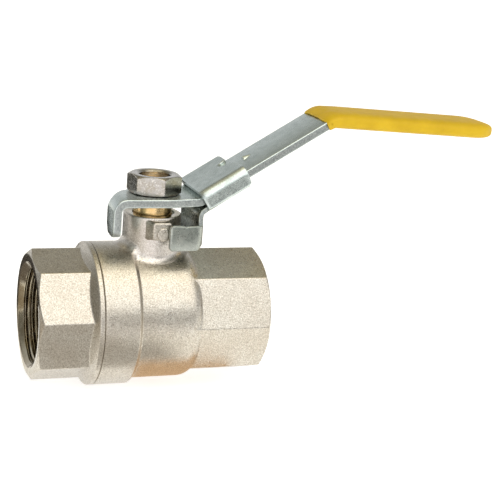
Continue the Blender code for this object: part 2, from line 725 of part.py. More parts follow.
def arm_slab(name, spans, faces, offsets):
    """A flat plate on the arm: spans up the arm, faces across it, offsets square to it."""
    corners = []
    for distance, offset in (
        (spans[0], offsets[0]), (spans[1], offsets[0]), (spans[1], offsets[1]), (spans[0], offsets[1]),
    ):
        corners.append(arm_point(distance, offset))
    return prism(name, corners, faces[0], faces[1], "y")


def slide_leg(inner_y, inner_n):
    """The leg under the sleeve, bent down to stand upright beside the neck."""
    top = arm_point(SLIDE_START + 5 * MM, -(inner_n + SLIDE_SHEET / 2))
    knee = (LEG_X, top[1] + (LEG_X - top[0]) * math.tan(ARM_ANGLE))
    foot = (LEG_X, HOOK_BOTTOM_Z + 4 * MERGE)
    upper = (-inner_y, LEG_BACK_Y)
    lower = (LEG_FRONT_Y, LEG_BACK_Y)
    stations = [(*top, *upper)]
    stations.extend(bend(top, knee, foot, LEG_BEND, (upper, lower)))
    stations.append((*foot, *lower))
    return ribbon("tool_slide_leg", stations, SLIDE_SHEET - 2 * MERGE)


def slide_hook():
    """The hook, turned from the leg's front edge round the front of the neck."""
    mid_y = HOOK_FRONT_Y + SLIDE_SHEET / 2
    full = (HOOK_BOTTOM_Z, HOOK_TOP_Z)
    raised = (HOOK_BOTTOM_Z + 1.5 * MM, HOOK_TOP_Z)
    tip = (HOOK_TIP_X, mid_y)
    stations = [
        (*tip, HOOK_BOTTOM_Z + 0.4 * MM, HOOK_TOP_Z - 0.4 * MM),
        (HOOK_TIP_X + 0.5 * MM, mid_y, *full),
        (LEG_X - LEG_BEND - 0.4 * MM, mid_y, *full),
    ]
    stations.extend(bend(tip, (LEG_X, mid_y), (LEG_X, 0), HOOK_BEND, (full, raised)))
    stations.append((LEG_X, LEG_FRONT_Y + 2 * MM, *raised))
    return ribbon("tool_slide_hook", stations, SLIDE_SHEET, flat=True)


def build_lock_slide(material, parent):
    """The sheet sleeve that rides on the arm, with its leg and the hook beside the neck."""
    inner_y = ARM_HALF_WIDTH + SLIDE_CLEARANCE
    outer_y = inner_y + SLIDE_SHEET
    inner_n = SHEET / 2 + SLIDE_CLEARANCE
    outer_n = inner_n + SLIDE_SHEET
    far = SLIDE_START + TONGUE_LENGTH
    slide = arm_slab("lock_slide", (SLIDE_START, far), (-outer_y, outer_y), (-outer_n, outer_n))
    slide.data.materials.append(material)
    slide.parent = parent
    through = (-outer_n - MM, outer_n + MM)
    shoulder = arm_slab("tool_slide_shoulder", (SLIDE_START + SLIDE_LENGTH, far + MM),
                        (SLOT_Y[1] - MM, outer_y + MM), through)
    slot = arm_slab("tool_slide_slot", (SLIDE_START + SLOT_START, far + 2 * MM), SLOT_Y,
                    (0, outer_n + MM))
    window = arm_slab("tool_slide_window", (SLIDE_START - 9 * MM, far + 9 * MM),
                      (-inner_y, inner_y), (-inner_n, inner_n))
    leg = slide_leg(inner_y, inner_n)
    hook = slide_hook()
    for tool, operation in (
        (shoulder, "DIFFERENCE"), (slot, "DIFFERENCE"), (window, "DIFFERENCE"),
        (leg, "UNION"), (hook, "UNION"),
    ):
        boolean(slide, tool, operation)
    return slide


def add_pivot(name, location, parent=None):
    pivot = bpy.data.objects.new(name, None)
    bpy.context.scene.collection.objects.link(pivot)
    pivot.location = location
    pivot.parent = parent
    return pivot


def build():
    clear_scene()
    nickel = make_material("blasted_nickel", (0.62, 0.58, 0.50), 0.42, 1.0)
    chrome = make_material("polished_chrome", (0.80, 0.80, 0.80), 0.08, 1.0)
    brass = make_material("brass", (0.78, 0.50, 0.18), 0.25, 1.0)
    zinc = make_material("zinc_plated_steel", (0.52, 0.58, 0.56), 0.28, 1.0)
    nut_plate = make_material("plated_nut", (0.30, 0.29, 0.27), 0.25, 1.0)
    ptfe = make_material("white_ptfe", (0.86, 0.86, 0.82), 0.5, 0.0)
    rubber = make_material("black_rubber", (0.02, 0.02, 0.02), 0.7, 0.0)
    pvc = make_material("yellow_pvc", (0.72, 0.45, 0.02), 0.4, 0.0)
    handle = add_pivot("handle_pivot", (0, 0, 0))
    ball_pivot = add_pivot("ball_pivot", (0, 0, 0))
    slide_pivot = add_pivot("slide_pivot", (0, 0, 0), handle)
    build_body(nickel)
    build_end_connector(nickel)
    build_ring("connector_o_ring", SEAL_RING_RADIUS, SEAL_RING_WIRE, SEAL_RING_X, (1, 0, 0), rubber)
    build_seat("inlet_seat", -1, ptfe)
    build_seat("outlet_seat", 1, ptfe)
    build_ball(chrome, ball_pivot)
    build_stem(brass, handle)
    build_thrust_washer(ptfe)
    for name, height in RING_HEIGHTS.items():
        build_ring(name, RING_RADIUS, RING_WIRE, height, (0, 0, 1), rubber, handle)
    build_lever(zinc, handle)
    build_nut(nut_plate, handle)
    build_grip(pvc, handle)
    build_lock_slide(zinc, slide_pivot)


build()
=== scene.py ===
"""Looks of the one-inch ball valve: detailed surfaces, materials, light and camera.

Frame as in the CAD: origin at the ball's centre, +X along the pipe towards the end under
the lever, +Z up the stem. Lengths are metres.
"""

import math

import bpy
from mathutils import Matrix, Vector, noise

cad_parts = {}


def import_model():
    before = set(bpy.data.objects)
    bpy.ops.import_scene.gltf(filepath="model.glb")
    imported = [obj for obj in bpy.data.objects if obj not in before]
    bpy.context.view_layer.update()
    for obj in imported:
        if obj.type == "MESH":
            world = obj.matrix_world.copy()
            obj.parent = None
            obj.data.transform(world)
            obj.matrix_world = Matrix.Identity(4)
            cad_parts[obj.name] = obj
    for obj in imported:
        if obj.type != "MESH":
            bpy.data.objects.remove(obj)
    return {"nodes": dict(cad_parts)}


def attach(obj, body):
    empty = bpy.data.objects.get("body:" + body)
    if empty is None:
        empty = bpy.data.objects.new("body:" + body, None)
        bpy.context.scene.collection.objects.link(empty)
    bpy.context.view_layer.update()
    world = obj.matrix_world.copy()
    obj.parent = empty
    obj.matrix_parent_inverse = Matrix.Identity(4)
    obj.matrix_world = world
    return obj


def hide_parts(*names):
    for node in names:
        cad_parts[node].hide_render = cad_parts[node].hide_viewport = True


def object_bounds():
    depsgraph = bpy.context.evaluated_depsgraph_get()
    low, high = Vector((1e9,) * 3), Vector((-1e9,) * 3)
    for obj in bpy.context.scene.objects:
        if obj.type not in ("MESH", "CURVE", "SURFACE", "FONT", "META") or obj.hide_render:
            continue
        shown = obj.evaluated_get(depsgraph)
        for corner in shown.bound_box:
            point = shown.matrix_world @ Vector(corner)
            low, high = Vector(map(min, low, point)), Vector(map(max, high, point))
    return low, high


MM = 0.001

# Camera: aim point, distance and attitude
AIM = Vector((33.37, -6.57, 22.75)) * MM
CAMERA_DISTANCE = 438.4 * MM
CAMERA_AZIMUTH = math.radians(21.43)
CAMERA_ELEVATION = math.radians(14.95)
CAMERA_ROLL = math.radians(4.905)
SENSOR = 36.0
LENS = 92.9

# Pipe ends
SIDES = 8
APOTHEM = 20.25 * MM
CORNER_ROUND = 0.7 * MM
FACE_RADIUS = 20.1 * MM
CHAMFER_SLOPE = 0.65
CHAMFER_DEPTHS = (2.2, 1.8, 1.5, 1.3, 1.15, 1.0, 0.85, 0.7, 0.55, 0.42, 0.3, 0.2, 0.1, 0.05, 0.02)
INLET_FACE_X = -40.3 * MM
OUTLET_FACE_X = 37.8 * MM
INLET_TURN = math.radians(-9.1)
OUTLET_TURN = 0.0
MOUTH_RADIUS = 17.6 * MM
MOUTH_DEPTH = 2.3 * MM
THREAD_MINOR = 15.15 * MM
THREAD_MAJOR = 16.62 * MM
THREAD_PITCH = 2.309 * MM
THREAD_LENGTH = 15.0 * MM
SOCKET_DEPTH = 16.8 * MM
BORE_RADIUS = 12.5 * MM

# Barrel, collar and neck
SEAM_X = -20.0 * MM
HALF_GAP = 0.045 * MM
COLLAR_RADIUS = 24.0 * MM
COLLAR_LENGTH = 3.0 * MM
COLLAR_BEVEL = 1.3 * MM
BARREL_RADIUS = 24.0 * MM
STEP_RADIUS = 22.3 * MM
STEP_X = -7.9 * MM
STEP_LENGTH = 1.6 * MM
SHOULDER_X = 9.0 * MM
SHOULDER_LENGTH = 4.6 * MM
SHOULDER_END_RADIUS = 19.6 * MM
CAVITY_RADIUS = 19.2 * MM
SPIGOT_RADIUS = 20.4 * MM
SPIGOT_END_X = -8.5 * MM
SEAT_POCKET_X = 15.9 * MM
SEAT_POCKET_RADIUS = 17.1 * MM
NECK_RADIUS = 9.6 * MM
NECK_TOP_Z = 34.7 * MM
FILLET_RADIUS = 3.2 * MM
STEM_HOLE_RADIUS = 6.6 * MM
STEM_PASSAGE_RADIUS = 8.05 * MM
STEM_PASSAGE_Z = (12.0 * MM, 24.6 * MM)

# Lugs on the neck
LUG_X = 0.4 * MM
LUG_BOTTOM_Z = 27.8 * MM
LUG_TOP_Z = 33.6 * MM
FRONT_LUG_REACH = 11.5 * MM
REAR_LUG_REACH = 15.4 * MM
LUG_EDGE = 0.55 * MM
LUG_CORNER = 0.9 * MM
LUG_FLARE = 1.4 * MM
LUG_FLARE_REACH = 2.9 * MM
FRONT_LUG_HALF_WIDTH = 3.1 * MM
FRONT_LUG_DRAFT = 1.2 * MM
REAR_LUG_HALF_WIDTH = 2.6 * MM
REAR_LUG_DRAFT = 0.6 * MM
BOSS_X = 0.9 * MM
BOSS_Z = 29.7 * MM
BOSS_RADIUS = 2.25 * MM
BOSS_REACH = 11.9 * MM

# Stem and nut
PLATE_TOP_Z = 41.4 * MM
SHEET = 2.8 * MM
STEM_TOP_Z = 45.6 * MM
STEM_THREAD_RADIUS = 5.0 * MM
STEM_THREAD_PITCH = 1.25 * MM
STEM_THREAD_DEPTH = 0.62 * MM
STEM_HOLE_IN_LEVER = 5.3 * MM
STEM_FLAT = 4.2 * MM
# Height and radius in millimetres: foot, two ring grooves, shaft, shoulder and thread root
STEM_PROFILE = (
    (19.0, 0.5), (19.0, 7.3), (19.3, 7.6), (20.4, 7.6), (20.6, 7.4), (20.6, 6.3),
    (24.2, 6.3), (24.2, 4.6), (26.2, 4.6), (26.2, 6.3), (29.0, 6.3), (29.0, 4.6),
    (31.0, 4.6), (31.0, 6.3), (33.0, 6.3), (35.0, 6.3), (37.0, 6.3), (37.8, 6.3),
    (38.1, 6.15), (38.3, 5.9), (38.3, 3.7), (41.0, 3.7), (41.2, 4.3),
)
NUT_APOTHEM = 7.95 * MM
NUT_BOTTOM_Z = 41.7 * MM
NUT_TOP_Z = 47.8 * MM
NUT_TURN = math.radians(6.4 - 90)
NUT_TOP_RADIUS = 7.85 * MM
NUT_MOUTH_RADIUS = 5.9 * MM
NUT_HOLE_RADIUS = 5.3 * MM

# Lever
ARM_ANGLE = math.radians(31.6)
TAB_X = -14.8 * MM
TAB_BOTTOM_Z = 28.6 * MM
TAB_BEND = 3.1 * MM
ARM_FOOT_X = 13.6 * MM
ARM_HEAD_X = 58.7 * MM
ARM_BEND = 5.0 * MM
GRIP_SLOPE = math.radians(-2.6)
TIP_X = 117.5 * MM
ARM_HALF_WIDTH = 9.7 * MM
STRIP_EDGE = 0.4 * MM
REAR_TAB_FRONT_X = 3.6 * MM
REAR_TAB_BACK_X = 9.8 * MM
REAR_TAB_MID_Y = 14.6 * MM
REAR_TAB_BOTTOM_Z = 30.0 * MM
REAR_TAB_BEND = 1.6 * MM
BARB_START = 21.5 * MM
BARB_Y = 2.05 * MM
BARB_LENGTH = 3.4 * MM
BARB_HEIGHT = 1.05 * MM
BARB_HALF_WIDTH = 1.7 * MM

# Lock slide
SLIDE_SHEET = 1.7 * MM
SLIDE_INNER_Y = 10.1 * MM
SLIDE_INNER_N = 1.8 * MM
SLIDE_FOLDS = (3.0 * MM, 1.3 * MM, 1.0 * MM, 0.5 * MM)
SLIDE_START = 0.9 * MM
SLIDE_RIM = 0.35 * MM
LEG_X = 13.3 * MM
LEG_BEND = 2.2 * MM
LEG_FRONT_Y = -12.1 * MM
LEG_BACK_Y = 8.0 * MM
HOOK_BEND = 1.9 * MM
HOOK_BOTTOM_Z = 24.7 * MM
HOOK_TOP_Z = 33.2 * MM
HOOK_TIP_X = 2.4 * MM
HOOK_MID_Y = -13.15 * MM

# Grip
GRIP_START = 50.2 * MM
GRIP_TIP_X = 123.6 * MM
GRIP_HALF_WIDTH = 10.7 * MM
GRIP_WALL = 2.4 * MM
GRIP_CROWN = 3.2 * MM
GRIP_RIPPLE = 0.45 * MM

SHARP_ANGLE = math.radians(38)
THREADED_SHARP_ANGLE = math.radians(75)

# Rings of the sheet strips: steps round each edge, columns in all, the two sheared ones
STRIP_STEPS = 4
STRIP_COLUMNS = 4 * (STRIP_STEPS + 1)
SHEARED_COLUMNS = (9, 19)

# Cards that only reflections see. Those on the table: name, (x, y), size and brightness
TABLE_CARDS = (
    ("back_left_card", (-0.105, 0.385), (0.05, 0.45), (0.78, 0.80, 0.78)),
    ("annulus_card", (-0.09, 0.09), (0.08, 0.14), (0.24, 0.21, 0.18)),
    ("leg_card", (-0.03, 0.31), (0.10, 0.46), (0.02, 0.02, 0.02)),
    ("left_card", (-0.20, 0.30), (0.14, 0.42), (0.05, 0.05, 0.04)),
    ("side_card", (-0.20, -0.04), (0.24, 0.16), (0.55, 0.48, 0.38)),
    ("hook_card", (0.083, -0.20), (0.10, 0.09), (0.08, 0.08, 0.07)),
    ("neck_card", (-0.065, -0.23), (0.17, 0.22), (1.35, 1.30, 1.32)),
    ("front_card", (0.235, -0.32), (0.20, 0.40), (0.45, 0.45, 0.45)),
    ("far_card", (0.078, -0.385), (0.11, 0.26), (0.15, 0.15, 0.14)),
    ("barrel_card", (0.05, -0.115), (0.10, 0.06), (1.45, 1.42, 1.40)),
    ("near_card", (-0.03, -0.068), (0.08, 0.09), (0.62, 0.59, 0.54)),
    ("right_card", (0.30, 0.32), (0.38, 0.55), (0.45, 0.42, 0.36)),
    ("warm_card", (0.012, -0.012), (0.034, 0.02), (0.90, 0.62, 0.38)),
)
# Standing ones: name, centre, direction faced, size and brightness
WALL_CARDS = (
    ("left_wall", (-0.60, 0.10, 0.12), (1.0, 0.0, 0.0), (0.9, 0.30), (0.30, 0.30, 0.28)),
    ("front_wall", (0.34, -0.85, 0.05), (-0.37, 0.93, 0.0), (0.46, 0.22), (0.20, 0.20, 0.19)),
    ("neck_wall", (-0.38, -0.82, 0.05), (0.42, 0.91, 0.0), (0.60, 0.22), (1.45, 1.40, 1.42)),
)

# Light: the key's direction, distance, size, power and colour, and the room from low to high
KEY_DIRECTION = (0.14, -0.60, 0.79)
KEY_DISTANCE = 1.1
KEY_SIZE = (1.5, 1.4)
KEY_POWER = 10.2
KEY_COLOUR = (1.0, 0.985, 0.96)
ROOM_STOPS = (
    (0.0, (0.88, 0.88, 0.88)), (0.25, (0.76, 0.77, 0.78)), (0.43, (0.58, 0.60, 0.60)),
    (0.60, (0.34, 0.33, 0.29)), (0.85, (0.36, 0.33, 0.25)), (0.95, (0.95, 0.85, 0.58)),
    (1.0, (1.0, 0.90, 0.62)),
)
FLOOR_DROP = 0.2 * MM
CARD_DROP = 0.1 * MM
FLOOR_HALF = 8.0


# ---------------------------------------------------------------- mesh helpers

def smooth_step(low, high, value):
    """Share of the way from low to high, eased at both ends."""
    share = min(max((value - low) / (high - low), 0.0), 1.0)
    return share * share * (3 - 2 * share)


def smooth_min(a, b, blend):
    """The smaller value, with the change from one to the other rounded."""
    near = max(blend - abs(a - b), 0.0) / blend
    return min(a, b) - near * near * blend / 4


def smooth_max(a, b, blend):
    return -smooth_min(-a, -b, blend)


def spread(start, end, step):
    """Evenly spaced values from start up to and including end."""
    count = max(1, round(abs(end - start) / step))
    return [start + (end - start) * i / count for i in range(count + 1)]


def lookup(value, table):
    """Smooth interpolation in a list of (position, value) pairs."""
    if value <= table[0][0]:
        return table[0][1]
    for (p0, v0), (p1, v1) in zip(table, table[1:]):
        if value <= p1:
            return v0 + (v1 - v0) * smooth_step(p0, p1, value)
    return table[-1][1]


def in_mm(*pairs):
    """Pairs given in millimetres, turned into metres."""
    return [(a * MM, b * MM) for a, b in pairs]


def grid_mesh(name, rows, materials, row_material=None, closed=False, caps=False):
    """Skin rows of equally long closed rings; closed joins the last row to the first."""
    count = len(rows[0])
    verts = [point for row in rows for point in row]
    faces = []
    slots = []
    links = len(rows) if closed else len(rows) - 1
    for j in range(links):
        low = j * count
        high = ((j + 1) % len(rows)) * count
        for i in range(count):
            k = (i + 1) % count
            faces.append((low + i, low + k, high + k, high + i))
            slots.append(row_material[j] if row_material else 0)
    if caps:
        last = (len(rows) - 1) * count
        faces.append(tuple(range(count)))
        faces.append(tuple(range(last, last + count)))
        slots.extend([slots[0], slots[-1]])
    mesh = bpy.data.meshes.new(name)
    mesh.from_pydata([tuple(v) for v in verts], [], faces)
    for material in materials:
        mesh.materials.append(material)
    mesh.polygons.foreach_set("material_index", slots)
    obj = bpy.data.objects.new(name, mesh)
    bpy.context.scene.collection.objects.link(obj)
    return obj


def finish_piece(name, objects, body, nodes, sharp=SHARP_ANGLE):
    """Join loose shells into one named piece that rides on a body and stands for nodes."""
    bpy.ops.object.select_all(action="DESELECT")
    for obj in objects:
        obj.select_set(True)
    bpy.context.view_layer.objects.active = objects[0]
    if len(objects) > 1:
        bpy.ops.object.join()
    piece = bpy.context.view_layer.objects.active
    piece.name = name
    piece.data.name = name
    bpy.ops.object.mode_set(mode="EDIT")
    bpy.ops.mesh.select_all(action="SELECT")
    bpy.ops.mesh.normals_make_consistent(inside=False)
    bpy.ops.object.mode_set(mode="OBJECT")
    piece.data.shade_smooth()
    piece.data.set_sharp_from_angle(angle=sharp)
    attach(piece, body)
    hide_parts(*nodes)
    return piece


def outward_normals(obj):
    """Turn all faces outwards, which a Boolean needs."""
    bpy.ops.object.select_all(action="DESELECT")
    obj.select_set(True)
    bpy.context.view_layer.objects.active = obj
    bpy.ops.object.mode_set(mode="EDIT")
    bpy.ops.mesh.select_all(action="SELECT")
    bpy.ops.mesh.normals_make_consistent(inside=False)
    bpy.ops.object.mode_set(mode="OBJECT")


def cut_through(target, outline, bottom, top):
    """Remove an upright column with an outline of (x, y) pairs from a mesh."""
    rows = [[Vector((x, y, z)) for x, y in outline] for z in (bottom, top)]
    cutter = grid_mesh("column_cutter", rows, [], caps=True)
    for piece in (target, cutter):
        outward_normals(piece)
    cut = target.modifiers.new("cut_through", "BOOLEAN")
    cut.operation = "DIFFERENCE"
    cut.solver = "EXACT"
    cut.object = cutter
    bpy.context.view_layer.objects.active = target
    bpy.ops.object.modifier_apply(modifier=cut.name)
    bpy.data.objects.remove(cutter)


def circle_points(radius, count):
    angles = [math.tau * i / count for i in range(count)]
    return [(radius * math.cos(a), radius * math.sin(a)) for a in angles]


def polygon_radius(angle, sides, apothem, corner):
    """Distance to the edge of a regular polygon whose corners are rounded."""
    half = math.pi / sides
    away = half - abs((angle % (2 * half)) - half)
    centre = (apothem - corner) / math.cos(half)
    limit = math.atan2(corner * math.sin(half), centre + corner * math.cos(half))
    if away < limit:
        offset = centre * math.sin(away)
        return centre * math.cos(away) + math.sqrt(corner ** 2 - offset ** 2)
    return apothem / math.cos(half - away)


def corner_angles(sides, turn):
    """Angles round a polygon, packed closely beside its corners."""
    half = 180 / sides
    near = [0, 0.4, 0.8, 1.2, 1.7, 2.4]
    steps = near + spread(3.6, half, 2.4)
    angles = []
    for side in range(sides):
        for step in steps[:-1]:
            angles.append(side * 2 * half + step)
        for step in reversed(steps[1:]):
            angles.append((side + 1) * 2 * half - step)
    return [math.radians(a) + turn for a in angles]


def ring_x(x, angles, radius_at):
    """A ring round the X axis; angles run from +Y towards +Z."""
    ring = []
    for angle in angles:
        radius = radius_at(angle)
        ring.append(Vector((x, radius * math.cos(angle), radius * math.sin(angle))))
    return ring


def ring_z(z, angles, radius_at):
    ring = []
    for angle in angles:
        radius = radius_at(angle)
        ring.append(Vector((radius * math.cos(angle), radius * math.sin(angle), z)))
    return ring


def constant(value):
    return lambda angle: value


# ---------------------------------------------------------------- pipe ends and barrel

def chamfer_radius(depth):
    """Radius of an end's turned-down cone at a depth behind its face."""
    return FACE_RADIUS + depth / CHAMFER_SLOPE


def thread_radius(depth, angle):
    """Radius of the female pipe thread's wall, opened by the mouth's chamfer."""
    phase = (depth / THREAD_PITCH - angle / math.tau) % 1.0
    wave = min(max(abs(2 * phase - 1) * 1.24 - 0.12, 0.0), 1.0)
    wave = 0.35 * wave + 0.65 * smooth_step(0, 1, wave)
    fade = 1 - smooth_step(THREAD_LENGTH - THREAD_PITCH, THREAD_LENGTH, depth)
    thread = THREAD_MINOR + (THREAD_MAJOR - THREAD_MINOR) * (wave * fade + (1 - fade))
    mouth = MOUTH_RADIUS - (MOUTH_RADIUS - THREAD_MINOR) * depth / MOUTH_DEPTH
    return smooth_max(thread, mouth, 0.12 * MM)


def socket_rows(face_x, outward, angles):
    """Rings from the end face's outer edge, down the thread to the bore."""
    rows = [
        ring_x(face_x, angles, constant(FACE_RADIUS - 0.15 * MM)),
        ring_x(face_x, angles, constant(MOUTH_RADIUS + 0.1 * MM)),
        ring_x(face_x - outward * 0.03 * MM, angles, constant(MOUTH_RADIUS + 0.02 * MM)),
    ]
    for depth in spread(0.1 * MM, THREAD_LENGTH, THREAD_PITCH / 18):
        rows.append(ring_x(face_x - outward * depth, angles, lambda a, d=depth: thread_radius(d, a)))
    floor = face_x - outward * SOCKET_DEPTH
    rows.append(ring_x(floor, angles, constant(THREAD_MAJOR)))
    rows.append(ring_x(floor - outward * 0.1 * MM, angles, constant(THREAD_MAJOR - 0.2 * MM)))
    rows.append(ring_x(floor - outward * 1.3 * MM, angles, constant(BORE_RADIUS + 0.2 * MM)))
    rows.append(ring_x(floor - outward * 1.6 * MM, angles, constant(BORE_RADIUS)))
    return rows


def pipe_end_shell(name, angles, places, radius_at, face_x, outward, inside, materials):
    """One closed shell: the cast outside, the threaded socket, then (x, radius) steps inside."""
    rows = [ring_x(x, angles, lambda a, place=x: radius_at(place, a)) for x in places]
    cast_rows = len(rows)
    rows.extend(socket_rows(face_x, outward, angles))
    rows.extend(ring_x(x, angles, constant(radius)) for x, radius in inside)
    # The end face, socket and inside take the turned nickel, darkened as painted shade.
    row_material = [0] * cast_rows + [1] * (len(rows) - cast_rows)
    return grid_mesh(name, rows, materials, row_material, closed=True)


def barrel_radius(x):
    """Outer radius of the barrel, from the seam over the step."""
    return BARREL_RADIUS + (STEP_RADIUS - BARREL_RADIUS) * smooth_step(
        STEP_X - STEP_LENGTH / 2, STEP_X + STEP_LENGTH / 2, x)


def body_radius(x, angle):
    """Outer radius of the body: barrel, rounded shoulder, octagon and end cone."""
    left = SEAM_X + HALF_GAP
    if x <= SHOULDER_X:
        round_off = 0.3 * MM
        share = min((x - left) / round_off, 1.0)
        edge = round_off * (1 - math.sqrt(max(1 - (1 - share) ** 2, 0.0)))
        return barrel_radius(x) - edge
    share = min((x - SHOULDER_X) / SHOULDER_LENGTH, 1.0)
    drop = STEP_RADIUS - SHOULDER_END_RADIUS
    shoulder = SHOULDER_END_RADIUS + drop * math.sqrt(1 - share ** 2)
    if x < 10.9 * MM:
        return shoulder
    octagon = polygon_radius(angle - OUTLET_TURN, SIDES, APOTHEM, CORNER_ROUND)
    outer = smooth_max(shoulder, octagon, 0.5 * MM)
    return smooth_min(outer, chamfer_radius(OUTLET_FACE_X - x), 0.12 * MM)


def body_barrel(materials):
    angles = corner_angles(SIDES, OUTLET_TURN)
    left = SEAM_X + HALF_GAP
    places = [left + d * MM for d in (0, 0.02, 0.06, 0.12, 0.2, 0.3)]
    places.extend(spread(left + 1.4 * MM, STEP_X - 1.2 * MM, 1.4 * MM))
    places.extend(spread(STEP_X - 0.9 * MM, STEP_X + 0.9 * MM, 0.15 * MM))
    places.extend(spread(STEP_X + 1.6 * MM, SHOULDER_X, 1.4 * MM))
    places.extend(spread(SHOULDER_X + 0.3 * MM, 15.0 * MM, 0.2 * MM))
    places.extend(spread(16.0 * MM, OUTLET_FACE_X - 3.0 * MM, 1.5 * MM))
    places.extend(OUTLET_FACE_X - d * MM for d in CHAMFER_DEPTHS)
    inside = (
        (SEAT_POCKET_X, BORE_RADIUS),
        (SEAT_POCKET_X, SEAT_POCKET_RADIUS),
        (8.6 * MM, SEAT_POCKET_RADIUS),
        (8.6 * MM, CAVITY_RADIUS),
        (SPIGOT_END_X + 0.3 * MM, CAVITY_RADIUS),
        (SPIGOT_END_X + 0.3 * MM, SPIGOT_RADIUS + 0.3 * MM),
        (left, SPIGOT_RADIUS + 0.3 * MM),
    )
    return pipe_end_shell("valve_body_shell", angles, places, body_radius,
                          OUTLET_FACE_X, 1, inside, materials)


def neck_shell(materials):
    """The neck: a fillet rolled between it and the barrel, and its bored top."""
    angles = [math.tau * i / 128 for i in range(128)]
    arc_steps = 12
    rows = [[] for _ in range(arc_steps + 2)]
    for angle in angles:
        out = Vector((math.cos(angle), math.sin(angle), 0))
        centre = out * (NECK_RADIUS + FILLET_RADIUS)
        radius = barrel_radius(centre.x)
        centre.z = math.sqrt((radius + FILLET_RADIUS) ** 2 - centre.y ** 2)
        down = Vector((0, -centre.y, -centre.z)).normalized()
        rows[0].append(centre + down * (FILLET_RADIUS + 0.4 * MM))
        for step in range(arc_steps + 1):
            direction = down.slerp(-out, step / arc_steps)
            rows[step + 1].append(centre + direction * (FILLET_RADIUS + 0.01 * MM))
    for z in spread(31.0 * MM, NECK_TOP_Z - 0.5 * MM, 1.0 * MM):
        rows.append(ring_z(z, angles, constant(NECK_RADIUS)))
    for drop, inset in ((0.3, 0.03), (0.15, 0.09), (0.04, 0.22), (0.0, 0.4)):
        rows.append(ring_z(NECK_TOP_Z - drop * MM, angles, constant(NECK_RADIUS - inset * MM)))
    turned = len(rows)
    rows.append(ring_z(NECK_TOP_Z, angles, constant(STEM_HOLE_RADIUS + 0.3 * MM)))
    rows.append(ring_z(NECK_TOP_Z - 0.3 * MM, angles, constant(STEM_HOLE_RADIUS)))
    rows.append(ring_z(22.3 * MM, angles, constant(STEM_HOLE_RADIUS)))
    rows.append(ring_z(22.3 * MM, angles, constant(7.9 * MM)))
    rows.append(ring_z(18.0 * MM, angles, constant(7.9 * MM)))
    # The neck's outside (slot 2) takes the lighter copy of the cast nickel as painted highlight; its
    # top and bore take the turned nickel, darkened as painted shade.
    row_material = [2] * (turned - 1) + [1] * (len(rows) - turned + 1)
    return grid_mesh("neck_shell", rows, materials, row_material, closed=True)


def rounded_outline(half_x, half_z, corner, steps=6):
    """Points of a rounded rectangle as (x, z) pairs."""
    points = []
    for quarter, (sx, sz) in enumerate(((1, 1), (-1, 1), (-1, -1), (1, -1))):
        for i in range(steps + 1):
            angle = math.radians(90 * quarter + 90 * i / steps)
            points.append((
                sx * (half_x - corner) + corner * math.cos(angle),
                sz * (half_z - corner) + corner * math.sin(angle),
            ))
    return points


def lug(name, side, reach, half_x, draft, materials):
    """A drafted cast lug with rounded edges, standing out of the neck along Y."""
    centre_z = (LUG_TOP_Z + LUG_BOTTOM_Z) / 2
    half_z = (LUG_TOP_Z - LUG_BOTTOM_Z) / 2
    root = NECK_RADIUS - 2.0 * MM
    levels = [(root, 0.0), (NECK_RADIUS, 0.0), (reach - LUG_EDGE, 0.0)]
    for i in range(1, 6):
        turn = math.radians(90 * i / 5)
        levels.append((reach - LUG_EDGE + LUG_EDGE * math.sin(turn), LUG_EDGE * (1 - math.cos(turn))))
    rows = []
    for y, inset in levels:
        share = 1 - (y - root) / (reach - root)
        flare = LUG_FLARE * max(0.0, 1 - (y - root) / LUG_FLARE_REACH) ** 2
        width = half_x + draft * share + flare - inset
        height = half_z + draft * 0.3 * share + flare * 0.5 - inset
        outline = rounded_outline(width, height, LUG_CORNER)
        rows.append([Vector((LUG_X + x, side * y, centre_z + z)) for x, z in outline])
    return grid_mesh(name, rows, materials, caps=True)


def boss_shell(materials):
    """The round boss on the front lug, with a rolled rim."""
    levels = [(NECK_RADIUS, 0.35), (11.2 * MM, 0.1), (11.5 * MM, 0.0), (11.68 * MM, 0.04)]
    levels.extend([(11.8 * MM, 0.14), (11.87 * MM, 0.3), (BOSS_REACH, 0.6), (BOSS_REACH, 1.3)])
    rows = []
    for reach, inset in levels:
        radius = BOSS_RADIUS - inset * MM
        ring = []
        for i in range(32):
            angle = math.tau * i / 32
            x = BOSS_X + radius * math.cos(angle)
            z = BOSS_Z + radius * math.sin(angle)
            ring.append(Vector((x, -reach, z)))
        rows.append(ring)
    return grid_mesh("boss_shell", rows, materials, caps=True)


def build_body(materials):
    barrel = body_barrel(materials)
    cut_through(barrel, circle_points(STEM_PASSAGE_RADIUS, 64), STEM_PASSAGE_Z[0], STEM_PASSAGE_Z[1])
    shells = [
        barrel,
        neck_shell(materials),
        lug("front_lug_shell", -1, FRONT_LUG_REACH, FRONT_LUG_HALF_WIDTH, FRONT_LUG_DRAFT, materials),
        lug("rear_lug_shell", 1, REAR_LUG_REACH, REAR_LUG_HALF_WIDTH, REAR_LUG_DRAFT, materials),
        boss_shell(materials),
    ]
    return finish_piece("cast_body", shells, "housing", ["valve_body"],
                        THREADED_SHARP_ANGLE)


def collar_radius(x):
    """The connector's collar: square against the seam, bevelled on its outer side."""
    right = SEAM_X - HALF_GAP
    left = right - COLLAR_LENGTH
    if x < left - 2.2 * MM:
        return 15.0 * MM
    seam_edge = 0.25 * MM * (1 - smooth_step(0, 0.3 * MM, right - x))
    slope = COLLAR_RADIUS - (left + COLLAR_BEVEL - x) * 1.75
    return smooth_min(COLLAR_RADIUS, slope, 0.5 * MM) - seam_edge


def connector_radius(x, angle):
    """Outer radius of the end connector: collar, octagon and end cone."""
    octagon = polygon_radius(angle - INLET_TURN, SIDES, APOTHEM, CORNER_ROUND)
    outer = smooth_max(collar_radius(x), octagon, 0.5 * MM)
    if x > SEAM_X - HALF_GAP - COLLAR_LENGTH + COLLAR_BEVEL:
        outer = collar_radius(x)
    return smooth_min(outer, chamfer_radius(x - INLET_FACE_X), 0.12 * MM)


